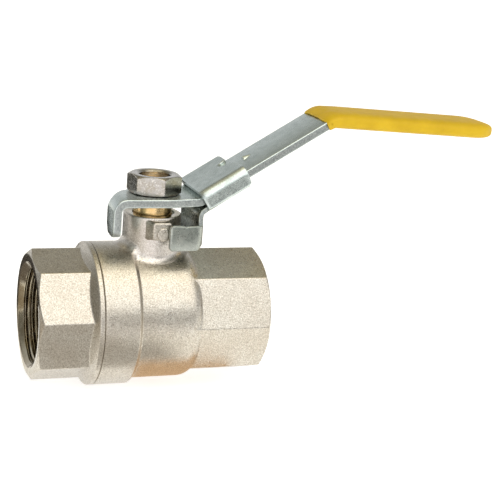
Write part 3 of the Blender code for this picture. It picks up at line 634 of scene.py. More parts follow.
def build_connector(materials):
    angles = corner_angles(SIDES, INLET_TURN)
    right = SEAM_X - HALF_GAP
    collar_left = right - COLLAR_LENGTH
    places = [right - d * MM for d in (0, 0.06, 0.12, 0.2, 0.3, 0.42, 0.55)]
    places.extend(spread(right - 0.9 * MM, collar_left - 2.2 * MM, 0.2 * MM))
    places.extend(spread(collar_left - 3.0 * MM, INLET_FACE_X + 3.0 * MM, 1.5 * MM))
    places.extend(INLET_FACE_X + d * MM for d in CHAMFER_DEPTHS)
    groove_floor = 18.55 * MM
    inside = (
        (-SEAT_POCKET_X, BORE_RADIUS),
        (-SEAT_POCKET_X, SEAT_POCKET_RADIUS),
        (SPIGOT_END_X, SEAT_POCKET_RADIUS),
        (SPIGOT_END_X, SPIGOT_RADIUS - 0.6 * MM),
        (SPIGOT_END_X - 0.6 * MM, SPIGOT_RADIUS),
        (-16.9 * MM, SPIGOT_RADIUS),
        (-16.9 * MM, groove_floor),
        (-19.1 * MM, groove_floor),
        (-19.1 * MM, SPIGOT_RADIUS),
        (right, SPIGOT_RADIUS),
    )
    shell = pipe_end_shell("connector_shell", angles, places, connector_radius,
                           INLET_FACE_X, -1, inside, materials)
    return finish_piece("cast_connector", [shell], "housing", ["end_connector"],
                        THREADED_SHARP_ANGLE)


# ---------------------------------------------------------------- stem and nut

def build_stem(material):
    angles = [math.tau * i / 72 for i in range(72)]
    rows = []
    for z, radius in STEM_PROFILE:
        rows.append(ring_z(z * MM, angles, constant(radius * MM)))
    for z in spread(41.4 * MM, STEM_TOP_Z - 0.1 * MM, STEM_THREAD_PITCH / 10):
        def thread_at(angle, level=z):
            phase = (level / STEM_THREAD_PITCH - angle / math.tau) % 1.0
            wave = smooth_step(0.1, 0.9, abs(2 * phase - 1))
            thread = STEM_THREAD_RADIUS - STEM_THREAD_DEPTH * (1 - wave)
            return min(thread, STEM_THREAD_RADIUS - 0.9 * MM + (STEM_TOP_Z - level))
        rows.append(ring_z(z, angles, thread_at))
    for radius, drop in ((4.0, 0.0), (3.8, 0.0), (1.7, 0.0), (1.6, 0.0), (1.5, 0.06), (0.9, 0.5)):
        rows.append(ring_z(STEM_TOP_Z - drop * MM, angles, constant(radius * MM)))
    shaft = grid_mesh("stem_shell", rows, [material], caps=True)
    tang_rows = []
    for z, inset in ((14.6, 0.5), (14.7, 0.2), (15.1, 0.0), (19.6, 0.0)):
        outline = rounded_outline((2.5 - inset) * MM, (6.8 - inset) * MM, 0.6 * MM)
        tang_rows.append([Vector((x, y, z * MM)) for x, y in outline])
    tang = grid_mesh("tang_shell", tang_rows, [material], caps=True)
    return finish_piece("turned_stem", [shaft, tang], "handle", ["stem"])


def nut_radius(z, angle):
    """Outer radius of the nut, with its corners turned down above and below."""
    hexagon = polygon_radius(angle - NUT_TURN, 6, NUT_APOTHEM, 0.35 * MM)
    top = NUT_TOP_RADIUS + (NUT_TOP_Z - z) * 1.75
    bottom = NUT_APOTHEM + 0.6 * MM + (z - NUT_BOTTOM_Z) * 2.2
    return smooth_min(smooth_min(hexagon, top, 0.12 * MM), bottom, 0.12 * MM)


def build_nut(material):
    angles = corner_angles(6, NUT_TURN)
    levels = [NUT_BOTTOM_Z + d * MM for d in (0.02, 0.1, 0.2, 0.3, 0.45, 0.8, 1.6, 2.6, 3.6)]
    levels.extend(NUT_TOP_Z - d * MM for d in (1.4, 1.1, 0.9, 0.75, 0.6, 0.45, 0.3, 0.2, 0.1, 0.03))
    rows = [ring_z(NUT_BOTTOM_Z, angles, constant(NUT_APOTHEM + 0.5 * MM))]
    rows.extend(ring_z(z, angles, lambda a, level=z: nut_radius(level, a)) for z in levels)
    for drop, radius in (
        (0.0, NUT_TOP_RADIUS - 0.1 * MM),
        (0.0, NUT_MOUTH_RADIUS + 0.08 * MM),
        (0.04 * MM, NUT_MOUTH_RADIUS),
        (0.6 * MM, NUT_HOLE_RADIUS),
        (NUT_TOP_Z - NUT_BOTTOM_Z, NUT_HOLE_RADIUS),
    ):
        rows.append(ring_z(NUT_TOP_Z - drop, angles, constant(radius)))
    shell = grid_mesh("nut_shell", rows, [material], closed=True)
    return finish_piece("hexagon_nut", [shell], "handle", ["lever_nut"])


# ---------------------------------------------------------------- sheet-metal strips

def bend_points(before, corner, after, radius, steps=14):
    """Points round the corner of a mid-line given as (x, z) pairs."""
    c = Vector(corner)
    into = (c - Vector(before)).normalized()
    out = (Vector(after) - c).normalized()
    angle = into.angle(out)
    start = c - into * radius * math.tan(angle / 2)
    side = 1 if into.x * out.y - into.y * out.x > 0 else -1
    centre = start + Vector((-into.y, into.x)) * radius * side
    points = []
    for i in range(steps + 1):
        turn = Matrix.Rotation(angle * i / steps * side, 2)
        points.append(centre + turn @ (start - centre))
    return points


def straight_points(start, end, step):
    a = Vector(start)
    b = Vector(end)
    count = max(2, round((b - a).length / step))
    return [a.lerp(b, i / count) for i in range(1, count)]


def strip_ring(point, normal, front, back, thickness, edge):
    """One ring of a bent strip that is wide along Y; normal is (x, z) out of its face."""
    edge = min(edge, (back - front) / 2.05)
    ring = []
    half = thickness / 2
    corners = (
        (front + edge, -half + edge, 180), (back - edge, -half + edge, 270),
        (back - edge, half - edge, 0), (front + edge, half - edge, 90),
    )
    for across, out, start in corners:
        for i in range(STRIP_STEPS + 1):
            angle = math.radians(start + 90 * i / STRIP_STEPS)
            y = across + edge * math.cos(angle)
            n = out + edge * math.sin(angle)
            ring.append(Vector((point[0] + normal[0] * n, y, point[1] + normal[1] * n)))
    return ring


def strip_normals(points):
    """Unit normals of a mid-line, from its neighbours on both sides."""
    normals = []
    for i in range(len(points)):
        run = points[min(i + 1, len(points) - 1)] - points[max(i - 1, 0)]
        run.normalize()
        normals.append(Vector((-run.y, run.x)))
    return normals


def strip_mesh(name, points, front_at, back_at, thickness, edge, materials):
    """A bent sheet strip with rounded edges and rounded-over ends."""
    normals = strip_normals(points)
    last = len(points) - 1
    rows = []
    for i, (point, normal) in enumerate(zip(points, normals)):
        front = front_at(i)
        back = back_at(i)
        if i not in (0, last):
            rows.append(strip_ring(point, normal, front, back, thickness, edge))
            continue
        inward = Vector((normal.y, -normal.x)) * (1 if i == 0 else -1)
        rings = []
        for lift, set_in in ((edge, 0.0), (edge * 0.3, edge * 0.3), (0.0, edge)):
            corner = min(edge, thickness / 2 - lift) * 0.98
            rings.append(strip_ring(point + inward * set_in, normal, front + lift, back - lift,
                                    thickness - 2 * lift, corner))
        rows.extend(rings if i == 0 else reversed(rings))
    strip = grid_mesh(name, rows, materials, caps=True)
    if len(materials) > 1:
        paint_edges(strip)
    return strip


def paint_edges(strip):
    """Give the sheared edge faces of a strip its second material."""
    for index, polygon in enumerate(strip.data.polygons):
        if index % STRIP_COLUMNS in SHEARED_COLUMNS:
            polygon.material_index = 1


def arm_point(distance, offset=0.0):
    """The (x, z) place up the arm from its foot, at an offset square to its mid-line."""
    x = ARM_FOOT_X + distance * math.cos(ARM_ANGLE) - offset * math.sin(ARM_ANGLE)
    z = PLATE_TOP_Z - SHEET / 2 + distance * math.sin(ARM_ANGLE) + offset * math.cos(ARM_ANGLE)
    return x, z


def lever_line():
    """The lever's mid-line corners: tab foot, tab top, arm foot, arm head and tip."""
    plate_z = PLATE_TOP_Z - SHEET / 2
    head = (ARM_HEAD_X, plate_z + (ARM_HEAD_X - ARM_FOOT_X) * math.tan(ARM_ANGLE))
    tip = (TIP_X, head[1] + (TIP_X - ARM_HEAD_X) * math.tan(GRIP_SLOPE))
    return (TAB_X, TAB_BOTTOM_Z), (TAB_X, plate_z), (ARM_FOOT_X, plate_z), head, tip


def lever_points():
    foot, tab_top, arm_foot, head, tip = lever_line()
    tab_bend = bend_points(foot, tab_top, arm_foot, TAB_BEND)
    foot_bend = bend_points(tab_top, arm_foot, head, ARM_BEND)
    head_bend = bend_points(arm_foot, head, tip, ARM_BEND)
    points = [Vector(foot)]
    rises = (0.5, 0.8, 1.2, 1.7, 2.3, 3.0, 3.8, 5.0)
    points.extend(Vector((TAB_X, TAB_BOTTOM_Z + rise * MM)) for rise in rises)
    points.extend(straight_points((TAB_X, TAB_BOTTOM_Z + 5.5 * MM), tab_bend[0], 1.0 * MM))
    points.extend(tab_bend)
    points.extend(straight_points(tab_bend[-1], foot_bend[0], 0.6 * MM))
    points.extend(foot_bend)
    points.extend(straight_points(foot_bend[-1], head_bend[0], 1.5 * MM))
    points.extend(head_bend)
    points.extend(straight_points(head_bend[-1], tip, 2.0 * MM))
    points.append(Vector(tip))
    return points


def lever_front(point):
    """Front edge (towards the viewer) of the lever at a point of its mid-line."""
    if point.x < TAB_X + 0.1 * MM:
        return lookup(point.y, in_mm(
            (28.6, -10.2), (29.2, -11.1), (30.4, -11.6),
        ))
    return lookup(point.x, in_mm(
        (3.0, -11.6), (8.5, -10.6), (13.0, -9.9), (16.5, -9.7),
        (107.0, -9.7), (114.0, -7.6), (117.5, -3.0),
    ))


def lever_back(point):
    """Rear edge of the lever at a point of its mid-line."""
    if point.x < TAB_X + 0.1 * MM:
        return lookup(point.y, in_mm(
            (28.6, -6.8), (29.6, -4.0), (32.4, -2.6),
        ))
    return lookup(point.x, in_mm(
        (-14.8, -2.6), (-9.5, 3.2), (-4.5, 9.8), (-0.5, 11.0),
        (8.5, 10.9), (13.0, 10.0), (16.5, 9.7),
        (107.0, 9.7), (114.0, 7.6), (117.5, 3.0),
    ))


def rear_tab(materials):
    """The stop tab turned down from the hub's rear edge."""
    plate_z = PLATE_TOP_Z - SHEET / 2
    corner = (REAR_TAB_MID_Y, plate_z)
    end = (REAR_TAB_MID_Y, REAR_TAB_BOTTOM_Z)
    line = [Vector((9.0 * MM, plate_z)), Vector((10.4 * MM, plate_z))]
    line.extend(bend_points((0, plate_z), corner, end, REAR_TAB_BEND, steps=8))
    line.extend(straight_points((REAR_TAB_MID_Y, 37.8 * MM), end, 2.0 * MM))
    line.append(Vector(end))
    tab = strip_mesh("rear_tab_shell", line, lambda i: REAR_TAB_FRONT_X, lambda i: REAR_TAB_BACK_X,
                     SHEET - 0.05 * MM, 0.35 * MM, materials)
    for vert in tab.data.vertices:
        vert.co = Vector((vert.co.y, vert.co.x, vert.co.z))
    return tab


def barb_shell(materials):
    """The wedge pressed up out of the arm, with soft shoulders."""
    rows = []
    for share in spread(0.0, 1.0, 0.1):
        height = BARB_HEIGHT * (1 - share) * smooth_step(-0.1, 0.12, share) + 0.02 * MM
        half = BARB_HALF_WIDTH * (1 - 0.75 * share)
        distance = BARB_START - 0.1 * MM + share * BARB_LENGTH
        ring = []
        for i in range(17):
            across = -1 + i / 8
            lift = height * (1 - across ** 2)
            x, z = arm_point(distance, SHEET / 2 + lift - 0.01 * MM)
            ring.append(Vector((x, BARB_Y + half * across, z)))
        for across in (1, -1):
            x, z = arm_point(distance, SHEET / 2 - 0.8 * MM)
            ring.append(Vector((x, BARB_Y + half * across, z)))
        rows.append(ring)
    return grid_mesh("barb_shell", rows, materials, caps=True)


def build_lever(materials):
    points = lever_points()
    strip = strip_mesh(
        "lever_shell", points, lambda i: lever_front(points[i]), lambda i: lever_back(points[i]),
        SHEET, STRIP_EDGE, materials)
    hole = [(x, max(-STEM_FLAT, min(STEM_FLAT, y))) for x, y in circle_points(STEM_HOLE_IN_LEVER, 48)]
    cut_through(strip, hole, PLATE_TOP_Z - 2 * SHEET, PLATE_TOP_Z + SHEET)
    shells = [strip, rear_tab(materials), barb_shell(materials)]
    return finish_piece("pressed_lever", shells, "handle", ["lever"])


# ---------------------------------------------------------------- lock slide

def sleeve_section():
    """Columns round the sleeve: (across y, out n, unit normal y, unit normal n) of its outside.

    The folds differ: wide at the front top, tight at the front bottom and at the back.
    """
    outer_y = SLIDE_INNER_Y + SLIDE_SHEET
    outer_n = SLIDE_INNER_N + SLIDE_SHEET
    front_top, front_low, back_low, back_top = SLIDE_FOLDS
    columns = []
    for y in spread(outer_y - back_top, -outer_y + front_top, 0.25 * MM):
        columns.append((y, outer_n, 0.0, 1.0))
    corners = (
        (-1, 1, front_top, 90), (-1, -1, front_low, 180),
        (1, -1, back_low, 270), (1, 1, back_top, 0),
    )
    for index, (side, level, fold, start) in enumerate(corners):
        if index == 2:
            for across in spread(-outer_y + front_low, outer_y - back_low, 1.0 * MM)[1:-1]:
                columns.append((across, -outer_n, 0.0, -1.0))
        y = side * (outer_y - fold)
        n = level * (outer_n - fold)
        first = 1 if index == 0 else 0
        last = 12 if index == 3 else 13
        for i in range(first, last):
            angle = math.radians(start + 90 * i / 12)
            columns.append((y + fold * math.cos(angle), n + fold * math.sin(angle),
                            math.cos(angle), math.sin(angle)))
    return columns


def sleeve_far_end(y, n):
    """How far up the arm the sleeve reaches at a place of its section."""
    low_cut = 1.3 * MM * smooth_step(-1.6 * MM, -3.5 * MM, n)
    if n < 0.0:
        return SLIDE_START + (17.3 * MM if y < 0 else 15.0 * MM) - low_cut
    return SLIDE_START + lookup(y, in_mm(
        (-11.8, 17.3), (-2.2, 17.3), (-0.9, 17.0),
        (-0.1, 16.1), (0.4, 14.6), (0.9, 13.3), (1.5, 12.5),
        (2.3, 12.2), (3.1, 12.5), (3.8, 13.3), (4.3, 14.5),
        (4.9, 15.4), (5.8, 15.8), (9.6, 15.8), (11.0, 15.6),
        (11.8, 15.2),
    ))


def sleeve_shell(materials):
    """The folded sleeve: outside, rounded far rim, inside and rounded near rim."""
    columns = sleeve_section()
    rim = SLIDE_RIM
    lengthwise = 12
    rows = []

    def ring(depth_in, share, lift):
        """A ring at a depth under the outside and a share of the way from near to far end."""
        points = []
        for y, n, normal_y, normal_n in columns:
            near = SLIDE_START + lift
            far = sleeve_far_end(y, n) - lift
            distance = near + (far - near) * share
            inner_y = SLIDE_INNER_Y + SLIDE_SHEET - depth_in
            inner_n = SLIDE_INNER_N + SLIDE_SHEET - depth_in
            place_y = max(-inner_y, min(inner_y, y - normal_y * depth_in))
            place_n = max(-inner_n, min(inner_n, n - normal_n * depth_in))
            x, z = arm_point(distance, place_n)
            points.append(Vector((x, place_y, z)))
        return points

    for i in range(lengthwise + 1):
        rows.append(ring(0.0, i / lengthwise, rim))
    for depth, lift in ((rim * 0.3, rim * 0.3), (rim, 0.0), (SLIDE_SHEET - rim, 0.0)):
        rows.append(ring(depth, 1.0, lift))
    for i in range(lengthwise + 1):
        rows.append(ring(SLIDE_SHEET, 1 - i / lengthwise, rim))
    for depth, lift in ((SLIDE_SHEET - rim, 0.0), (rim, 0.0), (rim * 0.3, rim * 0.3)):
        rows.append(ring(depth, 0.0, lift))
    return grid_mesh("sleeve_shell", rows, materials, closed=True)


def leg_shells(materials):
    """The leg under the sleeve and the hook turned round beside the neck."""
    bottom = -(SLIDE_INNER_N + SLIDE_SHEET / 2)
    top = Vector(arm_point(SLIDE_START + 5 * MM, bottom))
    slope = math.tan(ARM_ANGLE)
    knee = (LEG_X, top.y + (LEG_X - top.x) * slope)
    bend = bend_points(top, knee, (LEG_X, HOOK_BOTTOM_Z), LEG_BEND)
    low = Vector((LEG_X, 30.5 * MM))
    line = [top, *straight_points(top, bend[0], 1.0 * MM), *bend]
    line.extend(straight_points(bend[-1], low, 0.8 * MM))
    line.append(low)
    fronts = [lookup(p.y, [(low.y, LEG_FRONT_Y), (bend[-1].y, LEG_FRONT_Y + 0.4 * MM),
                           (top.y, -SLIDE_INNER_Y)]) for p in line]
    leg = strip_mesh("leg_shell", line, lambda i: fronts[i], lambda i: LEG_BACK_Y,
                     SLIDE_SHEET - 0.06 * MM, 0.3 * MM, materials)
    corner = (LEG_X, HOOK_MID_Y)
    turn = bend_points((0, HOOK_MID_Y), corner, (LEG_X, 0), HOOK_BEND)
    tip = Vector((HOOK_TIP_X, HOOK_MID_Y))
    path = [tip]
    path.extend(Vector((HOOK_TIP_X + d * MM, HOOK_MID_Y)) for d in (0.4, 0.7, 1.0, 1.5, 2.2))
    path.extend(straight_points((HOOK_TIP_X + 2.5 * MM, HOOK_MID_Y), turn[0], 0.7 * MM))
    path.extend(turn)
    path.extend(straight_points(turn[-1], (LEG_X, LEG_BACK_Y), 1.5 * MM))
    path.append(Vector((LEG_X, LEG_BACK_Y)))
    lows = []
    highs = []
    for p in path:
        along = p.x if p.y < HOOK_MID_Y + 0.4 * MM else LEG_X + (p.y - HOOK_MID_Y)
        lows.append(lookup(along, [
            (2.4 * MM, HOOK_BOTTOM_Z + 0.55 * MM), (3.3 * MM, HOOK_BOTTOM_Z),
            (11.4 * MM, HOOK_BOTTOM_Z), (13.0 * MM, HOOK_BOTTOM_Z + 0.9 * MM),
            (14.6 * MM, HOOK_BOTTOM_Z + 1.6 * MM),
        ]))
        highs.append(lookup(along, [
            (2.4 * MM, HOOK_TOP_Z - 0.5 * MM), (3.2 * MM, HOOK_TOP_Z),
            (7.3 * MM, HOOK_TOP_Z - 0.05 * MM),
            (8.0 * MM, HOOK_TOP_Z - 0.55 * MM), (8.7 * MM, HOOK_TOP_Z - 0.1 * MM),
            (16.0 * MM, HOOK_TOP_Z),
        ]))
    hook = strip_mesh("hook_shell", path, lambda i: lows[i], lambda i: highs[i],
                      SLIDE_SHEET, 0.35 * MM, materials)
    for vert in hook.data.vertices:
        vert.co = Vector((vert.co.x, vert.co.z, vert.co.y))
    return [leg, hook]


def build_lock_slide(materials, painted_shade_leg_materials):
    # The leg and hook take the darker copy of the zinc, as painted shade.
    shells = [sleeve_shell(materials), *leg_shells(painted_shade_leg_materials)]
    return finish_piece("folded_lock_slide", shells, "lock_slide", ["lock_slide"])


# ---------------------------------------------------------------- grip

def grip_ring(centre, angle, half_width, crown, wall, ripple=0.0):
    """A ring of the dipped sleeve: a flat oval with a slightly crowned top."""
    ring = []
    for i in range(64):
        turn = math.tau * i / 64
        across = math.copysign(abs(math.cos(turn)) ** 0.42, math.cos(turn)) * half_width
        height = math.copysign(abs(math.sin(turn)) ** 0.62, math.sin(turn))
        height *= crown if height > 0 else wall
        shift = ripple * noise.noise(Vector((across / MM * 0.35, height / MM * 0.4, 3.1)))
        ring.append(Vector((
            centre[0] - height * math.sin(angle) + shift * math.cos(angle),
            across,
            centre[1] + height * math.cos(angle) + shift * math.sin(angle),
        )))
    return ring


def build_grip(material):
    _, _, arm_foot, head, tip = lever_line()
    start = Vector(arm_point(GRIP_START))
    run = Vector((math.cos(ARM_ANGLE), math.sin(ARM_ANGLE)))
    inner = (ARM_HALF_WIDTH + 0.1 * MM, SHEET / 2 + 0.1 * MM)
    lip = inner[1] + 0.4 * MM
    rows = [
        grip_ring(start + run * 1.5 * MM, ARM_ANGLE, inner[0], inner[1], inner[1]),
        grip_ring(start + run * 0.15 * MM, ARM_ANGLE, inner[0] + 0.1 * MM, inner[1] + 0.1 * MM,
                  inner[1] + 0.1 * MM, GRIP_RIPPLE),
        grip_ring(start, ARM_ANGLE, inner[0] + 0.45 * MM, lip, lip, GRIP_RIPPLE),
    ]
    for offset, shrink in ((0.12, 0.32), (0.4, 0.12), (0.9, 0.0), (1.6, 0.0)):
        wall = GRIP_WALL - shrink * MM
        rows.append(grip_ring(start + run * offset * MM, ARM_ANGLE, GRIP_HALF_WIDTH - shrink * MM,
                              wall, wall, GRIP_RIPPLE * (1 - offset / 1.6)))
    bend = bend_points(arm_foot, head, tip, ARM_BEND, steps=16)
    for i, point in enumerate(bend):
        share = i / (len(bend) - 1)
        angle = ARM_ANGLE + (GRIP_SLOPE - ARM_ANGLE) * share
        crown = GRIP_WALL + (GRIP_CROWN - GRIP_WALL) * share * 0.8
        rows.append(grip_ring(point, angle, GRIP_HALF_WIDTH, crown, GRIP_WALL))
    end = GRIP_TIP_X - GRIP_HALF_WIDTH
    places = spread(66 * MM, end, 4 * MM)
    shares = [0.12, 0.24, 0.36, 0.48, 0.58, 0.67, 0.75, 0.82, 0.88, 0.92, 0.955, 0.98, 0.994]
    for x in places + [end + GRIP_HALF_WIDTH * share for share in shares]:
        share = max(0.0, (x - end) / GRIP_HALF_WIDTH)
        round_off = math.sqrt(1 - share ** 2)
        taper = math.sqrt(1 - share ** 3)
        crown = 0.1 * MM + (GRIP_CROWN - 0.1 * MM) * taper
        wall = 0.1 * MM + (GRIP_WALL - 0.1 * MM) * taper
        centre = (x, head[1] + (x - ARM_HEAD_X) * math.tan(GRIP_SLOPE))
        rows.append(grip_ring(centre, GRIP_SLOPE, GRIP_HALF_WIDTH * round_off, crown, wall))
    shell = grid_mesh("grip_shell", rows, [material], caps=True)
    return finish_piece("dipped_grip", [shell], "handle", ["lever_grip"])


# ---------------------------------------------------------------- materials

class Nodes:
    """Short spellings for building one material's node tree."""

    def __init__(self, name):
        self.material = bpy.data.materials.new(name)
        self.material.use_nodes = True
        self.tree = self.material.node_tree
        self.shader = self.tree.nodes["Principled BSDF"]
        self.coords = self.tree.nodes.new("ShaderNodeTexCoord").outputs["Object"]

    def link(self, source, target):
        self.tree.links.new(source, target)

    def set(self, **values):
        for key, value in values.items():
            self.shader.inputs[key.replace("_", " ")].default_value = value

    def stretched(self, factors):
        """Object coordinates multiplied by three factors."""
        node = self.tree.nodes.new("ShaderNodeMapping")
        node.inputs["Scale"].default_value = factors
        self.link(self.coords, node.inputs["Vector"])
        return node.outputs["Vector"]

    def noise(self, feature, detail=3.0, rough=0.55, vector=None):
        """Noise whose features have the given size in metres."""
        node = self.tree.nodes.new("ShaderNodeTexNoise")
        node.inputs["Scale"].default_value = 1 / feature
        node.inputs["Detail"].default_value = detail
        node.inputs["Roughness"].default_value = rough
        self.link(vector or self.coords, node.inputs["Vector"])
        return node.outputs["Fac"]

    def remap(self, value, low, high, out_low=0.0, out_high=1.0):
        node = self.tree.nodes.new("ShaderNodeMapRange")
        node.inputs["From Min"].default_value = low
        node.inputs["From Max"].default_value = high
        node.inputs["To Min"].default_value = out_low
        node.inputs["To Max"].default_value = out_high
        self.link(value, node.inputs["Value"])
        return node.outputs["Result"]

    def mix(self, share, first, second):
        """Mix of two colours, each a tuple or a socket."""
        node = self.tree.nodes.new("ShaderNodeMix")
        node.data_type = "RGBA"
        self.link(share, node.inputs["Factor"])
        for socket, value in ((node.inputs["A"], first), (node.inputs["B"], second)):
            if isinstance(value, tuple):
                socket.default_value = (*value, 1.0)
            else:
                self.link(value, socket)
        return node.outputs["Result"]

    def colour(self, share, first, second):
        self.link(self.mix(share, first, second), self.shader.inputs["Base Color"])

    def roughness(self, value, smooth, matt, low=0.3, high=0.7):
        """Roughness running from smooth to matt as a value runs from low to high."""
        self.link(self.remap(value, low, high, smooth, matt), self.shader.inputs["Roughness"])

    def bumps(self, *layers):
        """Stack bump layers given as (height, distance, strength)."""
        normal = None
        for height, distance, strength in layers:
            node = self.tree.nodes.new("ShaderNodeBump")
            node.inputs["Distance"].default_value = distance
            node.inputs["Strength"].default_value = strength
            self.link(height, node.inputs["Height"])
            if normal:
                self.link(normal, node.inputs["Normal"])
            normal = node.outputs["Normal"]
        self.link(normal, self.shader.inputs["Normal"])


def blasted_nickel(name, dull, bright, speck_colour):
    """Nickel plate over a shot-blasted brass casting: warm, grainy and half matt."""
    n = Nodes(name)
    n.set(Metallic=1.0)
    tint = n.remap(n.noise(9 * MM, 4.0), 0.35, 0.7)
    speck = n.remap(n.noise(0.38 * MM, 2.5, 0.7), 0.36, 0.62)
    n.colour(speck, speck_colour, n.mix(tint, dull, bright))
    n.roughness(n.noise(1.4 * MM, 4.0, 0.7), 0.24, 0.38)
    n.bumps(
        (n.noise(2.2 * MM, 2.0), 0.10 * MM, 0.35),
        (n.noise(0.46 * MM, 3.0, 0.65), 0.075 * MM, 1.0),
    )
    return n.material


def turned_faces_painted_shade():
    """Bright nickel on the turned faces and threads, with fine lathe lines, its colour darkened as
    painted shade.
    """
    n = Nodes("look_turned_faces_painted_shade")
    n.set(Metallic=1.0)
    tint = n.remap(n.noise(4 * MM, 3.0), 0.35, 0.7)
    # Dark, warm colour: painted shade in the sockets, on the end faces and on the neck's top, with a
    # painted warm reflection.
    n.colour(tint, (0.34, 0.29, 0.20), (0.50, 0.45, 0.35))
    lines = n.noise(0.10 * MM, 2.0, 0.6, n.stretched((1.0, 0.02, 0.02)))
    n.roughness(n.noise(1.0 * MM, 3.0), 0.10, 0.20)
    n.bumps((lines, 0.006 * MM, 0.3))
    return n.material


def turned_brass():
    n = Nodes("look_turned_brass")
    n.set(Metallic=1.0)
    tint = n.remap(n.noise(3 * MM, 3.0), 0.3, 0.7)
    n.colour(tint, (0.70, 0.47, 0.20), (0.86, 0.66, 0.36))
    lines = n.noise(0.12 * MM, 2.0, 0.6, n.stretched((0.03, 0.03, 1.0)))
    n.roughness(lines, 0.16, 0.30)
    n.bumps((lines, 0.02 * MM, 0.5))
    return n.material


def zinc_steel(name, dull, bright):
    """Zinc-plated sheet: cool grey-green, satin, with soft blotches and fine scratches."""
    n = Nodes(name)
    n.set(Metallic=1.0)
    blotch = n.remap(n.noise(3.2 * MM, 5.0, 0.6), 0.32, 0.68)
    n.colour(blotch, dull, bright)
    scratches = n.noise(0.25 * MM, 4.0, 0.7, n.stretched((0.08, 1.0, 0.3)))
    n.roughness(n.noise(0.9 * MM, 4.0, 0.65), 0.22, 0.36)
    n.bumps(
        (n.noise(1.6 * MM, 3.0), 0.03 * MM, 0.35),
        (scratches, 0.012 * MM, 0.5),
        (n.noise(0.3 * MM, 2.0), 0.012 * MM, 0.5),
    )
    return n.material


def zinc_edge():
    """The sheared edge of the zinc-plated sheet: the same plate over a torn, pitted face."""
    n = Nodes("look_zinc_edge")
    n.set(Metallic=1.0)
    blotch = n.remap(n.noise(0.55 * MM, 4.0, 0.7), 0.35, 0.65)
    n.colour(blotch, (0.28, 0.31, 0.31), (0.54, 0.57, 0.55))
    n.roughness(blotch, 0.42, 0.28, 0.0, 1.0)
    n.bumps(
        (n.noise(0.5 * MM, 4.0, 0.7), 0.07 * MM, 0.8),
        (n.noise(0.22 * MM, 2.0), 0.02 * MM, 0.6),
    )
    return n.material


def plated_nut():
    """Dark bright plating with pits and specks."""
    n = Nodes("look_plated_nut")
    n.set(Metallic=1.0)
    speck = n.remap(n.noise(0.6 * MM, 4.0, 0.7), 0.55, 0.68)
    tint = n.remap(n.noise(3 * MM, 2.0), 0.35, 0.65)
    base = n.mix(tint, (0.36, 0.33, 0.28), (0.45, 0.43, 0.41))
    n.colour(speck, base, (0.70, 0.68, 0.64))
    n.roughness(n.noise(0.8 * MM, 3.0), 0.13, 0.27)
    n.bumps((n.noise(0.7 * MM, 4.0, 0.65), 0.04 * MM, 0.5))
    return n.material


def polished_chrome():
    n = Nodes("look_polished_chrome")
    n.set(Metallic=1.0, Base_Color=(0.78, 0.78, 0.78, 1.0))
    n.roughness(n.noise(2 * MM, 4.0), 0.16, 0.24)
    n.bumps((n.noise(1.0 * MM, 3.0), 0.004 * MM, 0.3))
    return n.material


def white_ptfe():
    n = Nodes("look_white_ptfe")
    tint = n.remap(n.noise(2 * MM, 3.0), 0.3, 0.7)
    n.colour(tint, (0.80, 0.79, 0.74), (0.88, 0.88, 0.85))
    n.set(Roughness=0.5)
    n.bumps((n.noise(0.3 * MM, 2.0), 0.01 * MM, 0.4))
    return n.material


def black_rubber():
    n = Nodes("look_black_rubber")
    tint = n.remap(n.noise(0.6 * MM, 3.0), 0.3, 0.7)
    n.colour(tint, (0.012, 0.012, 0.012), (0.035, 0.034, 0.032))
    n.roughness(tint, 0.55, 0.75, 0.0, 1.0)
    n.bumps((n.noise(0.2 * MM, 2.0), 0.01 * MM, 0.5))
    return n.material


def yellow_pvc():
    """Dipped PVC: warm yellow, satin, with soft waves, a fine skin and a little dirt."""
    n = Nodes("look_yellow_pvc")
    tint = n.remap(n.noise(7 * MM, 4.0, 0.6), 0.3, 0.7)
    clean = n.mix(tint, (0.54, 0.345, 0.004), (0.62, 0.405, 0.008))
    dirt = n.remap(n.noise(1.1 * MM, 5.0, 0.75), 0.60, 0.78, 0.0, 0.35)
    n.colour(dirt, clean, (0.36, 0.24, 0.05))
    n.roughness(n.noise(2.0 * MM, 4.0, 0.6), 0.46, 0.60)
    n.set(IOR=1.36, Subsurface_Weight=0.05, Subsurface_Radius=(0.002, 0.001, 0.0003))
    n.bumps(
        (n.noise(5 * MM, 2.0), 0.20 * MM, 0.35),
        (n.noise(0.35 * MM, 2.0), 0.012 * MM, 0.5),
    )
    return n.material


def light_table():
    """A pale floor of lit acrylic, so that it stays near white and its shadows are soft."""
    n = Nodes("look_light_table")
    n.set(Base_Color=(0.80, 0.80, 0.80, 1.0), Roughness=0.9, Specular_IOR_Level=0.1)
    n.set(Emission_Color=(1.0, 1.0, 1.0, 1.0), Emission_Strength=0.66)
    n.bumps((n.noise(0.4, 2.0), 0.2 * MM, 0.1))
    return n.material


def studio_card(name, brightness):
    n = Nodes(name)
    n.set(Base_Color=(0.0, 0.0, 0.0, 1.0), Roughness=1.0, Specular_IOR_Level=0.0)
    n.set(Emission_Color=(*brightness, 1.0), Emission_Strength=1.0)
    return n.material


# ---------------------------------------------------------------- stage, light and camera

def camera_frame():
    """The camera's right, up and backward directions."""
    a = CAMERA_AZIMUTH
    e = CAMERA_ELEVATION
    back = Vector((-math.sin(a) * math.cos(e), -math.cos(a) * math.cos(e), math.sin(e)))
    level = Vector((math.cos(a), -math.sin(a), 0))
    over = back.cross(level)
    right = level * math.cos(CAMERA_ROLL) + over * math.sin(CAMERA_ROLL)
    up = over * math.cos(CAMERA_ROLL) - level * math.sin(CAMERA_ROLL)
    return right, up, back


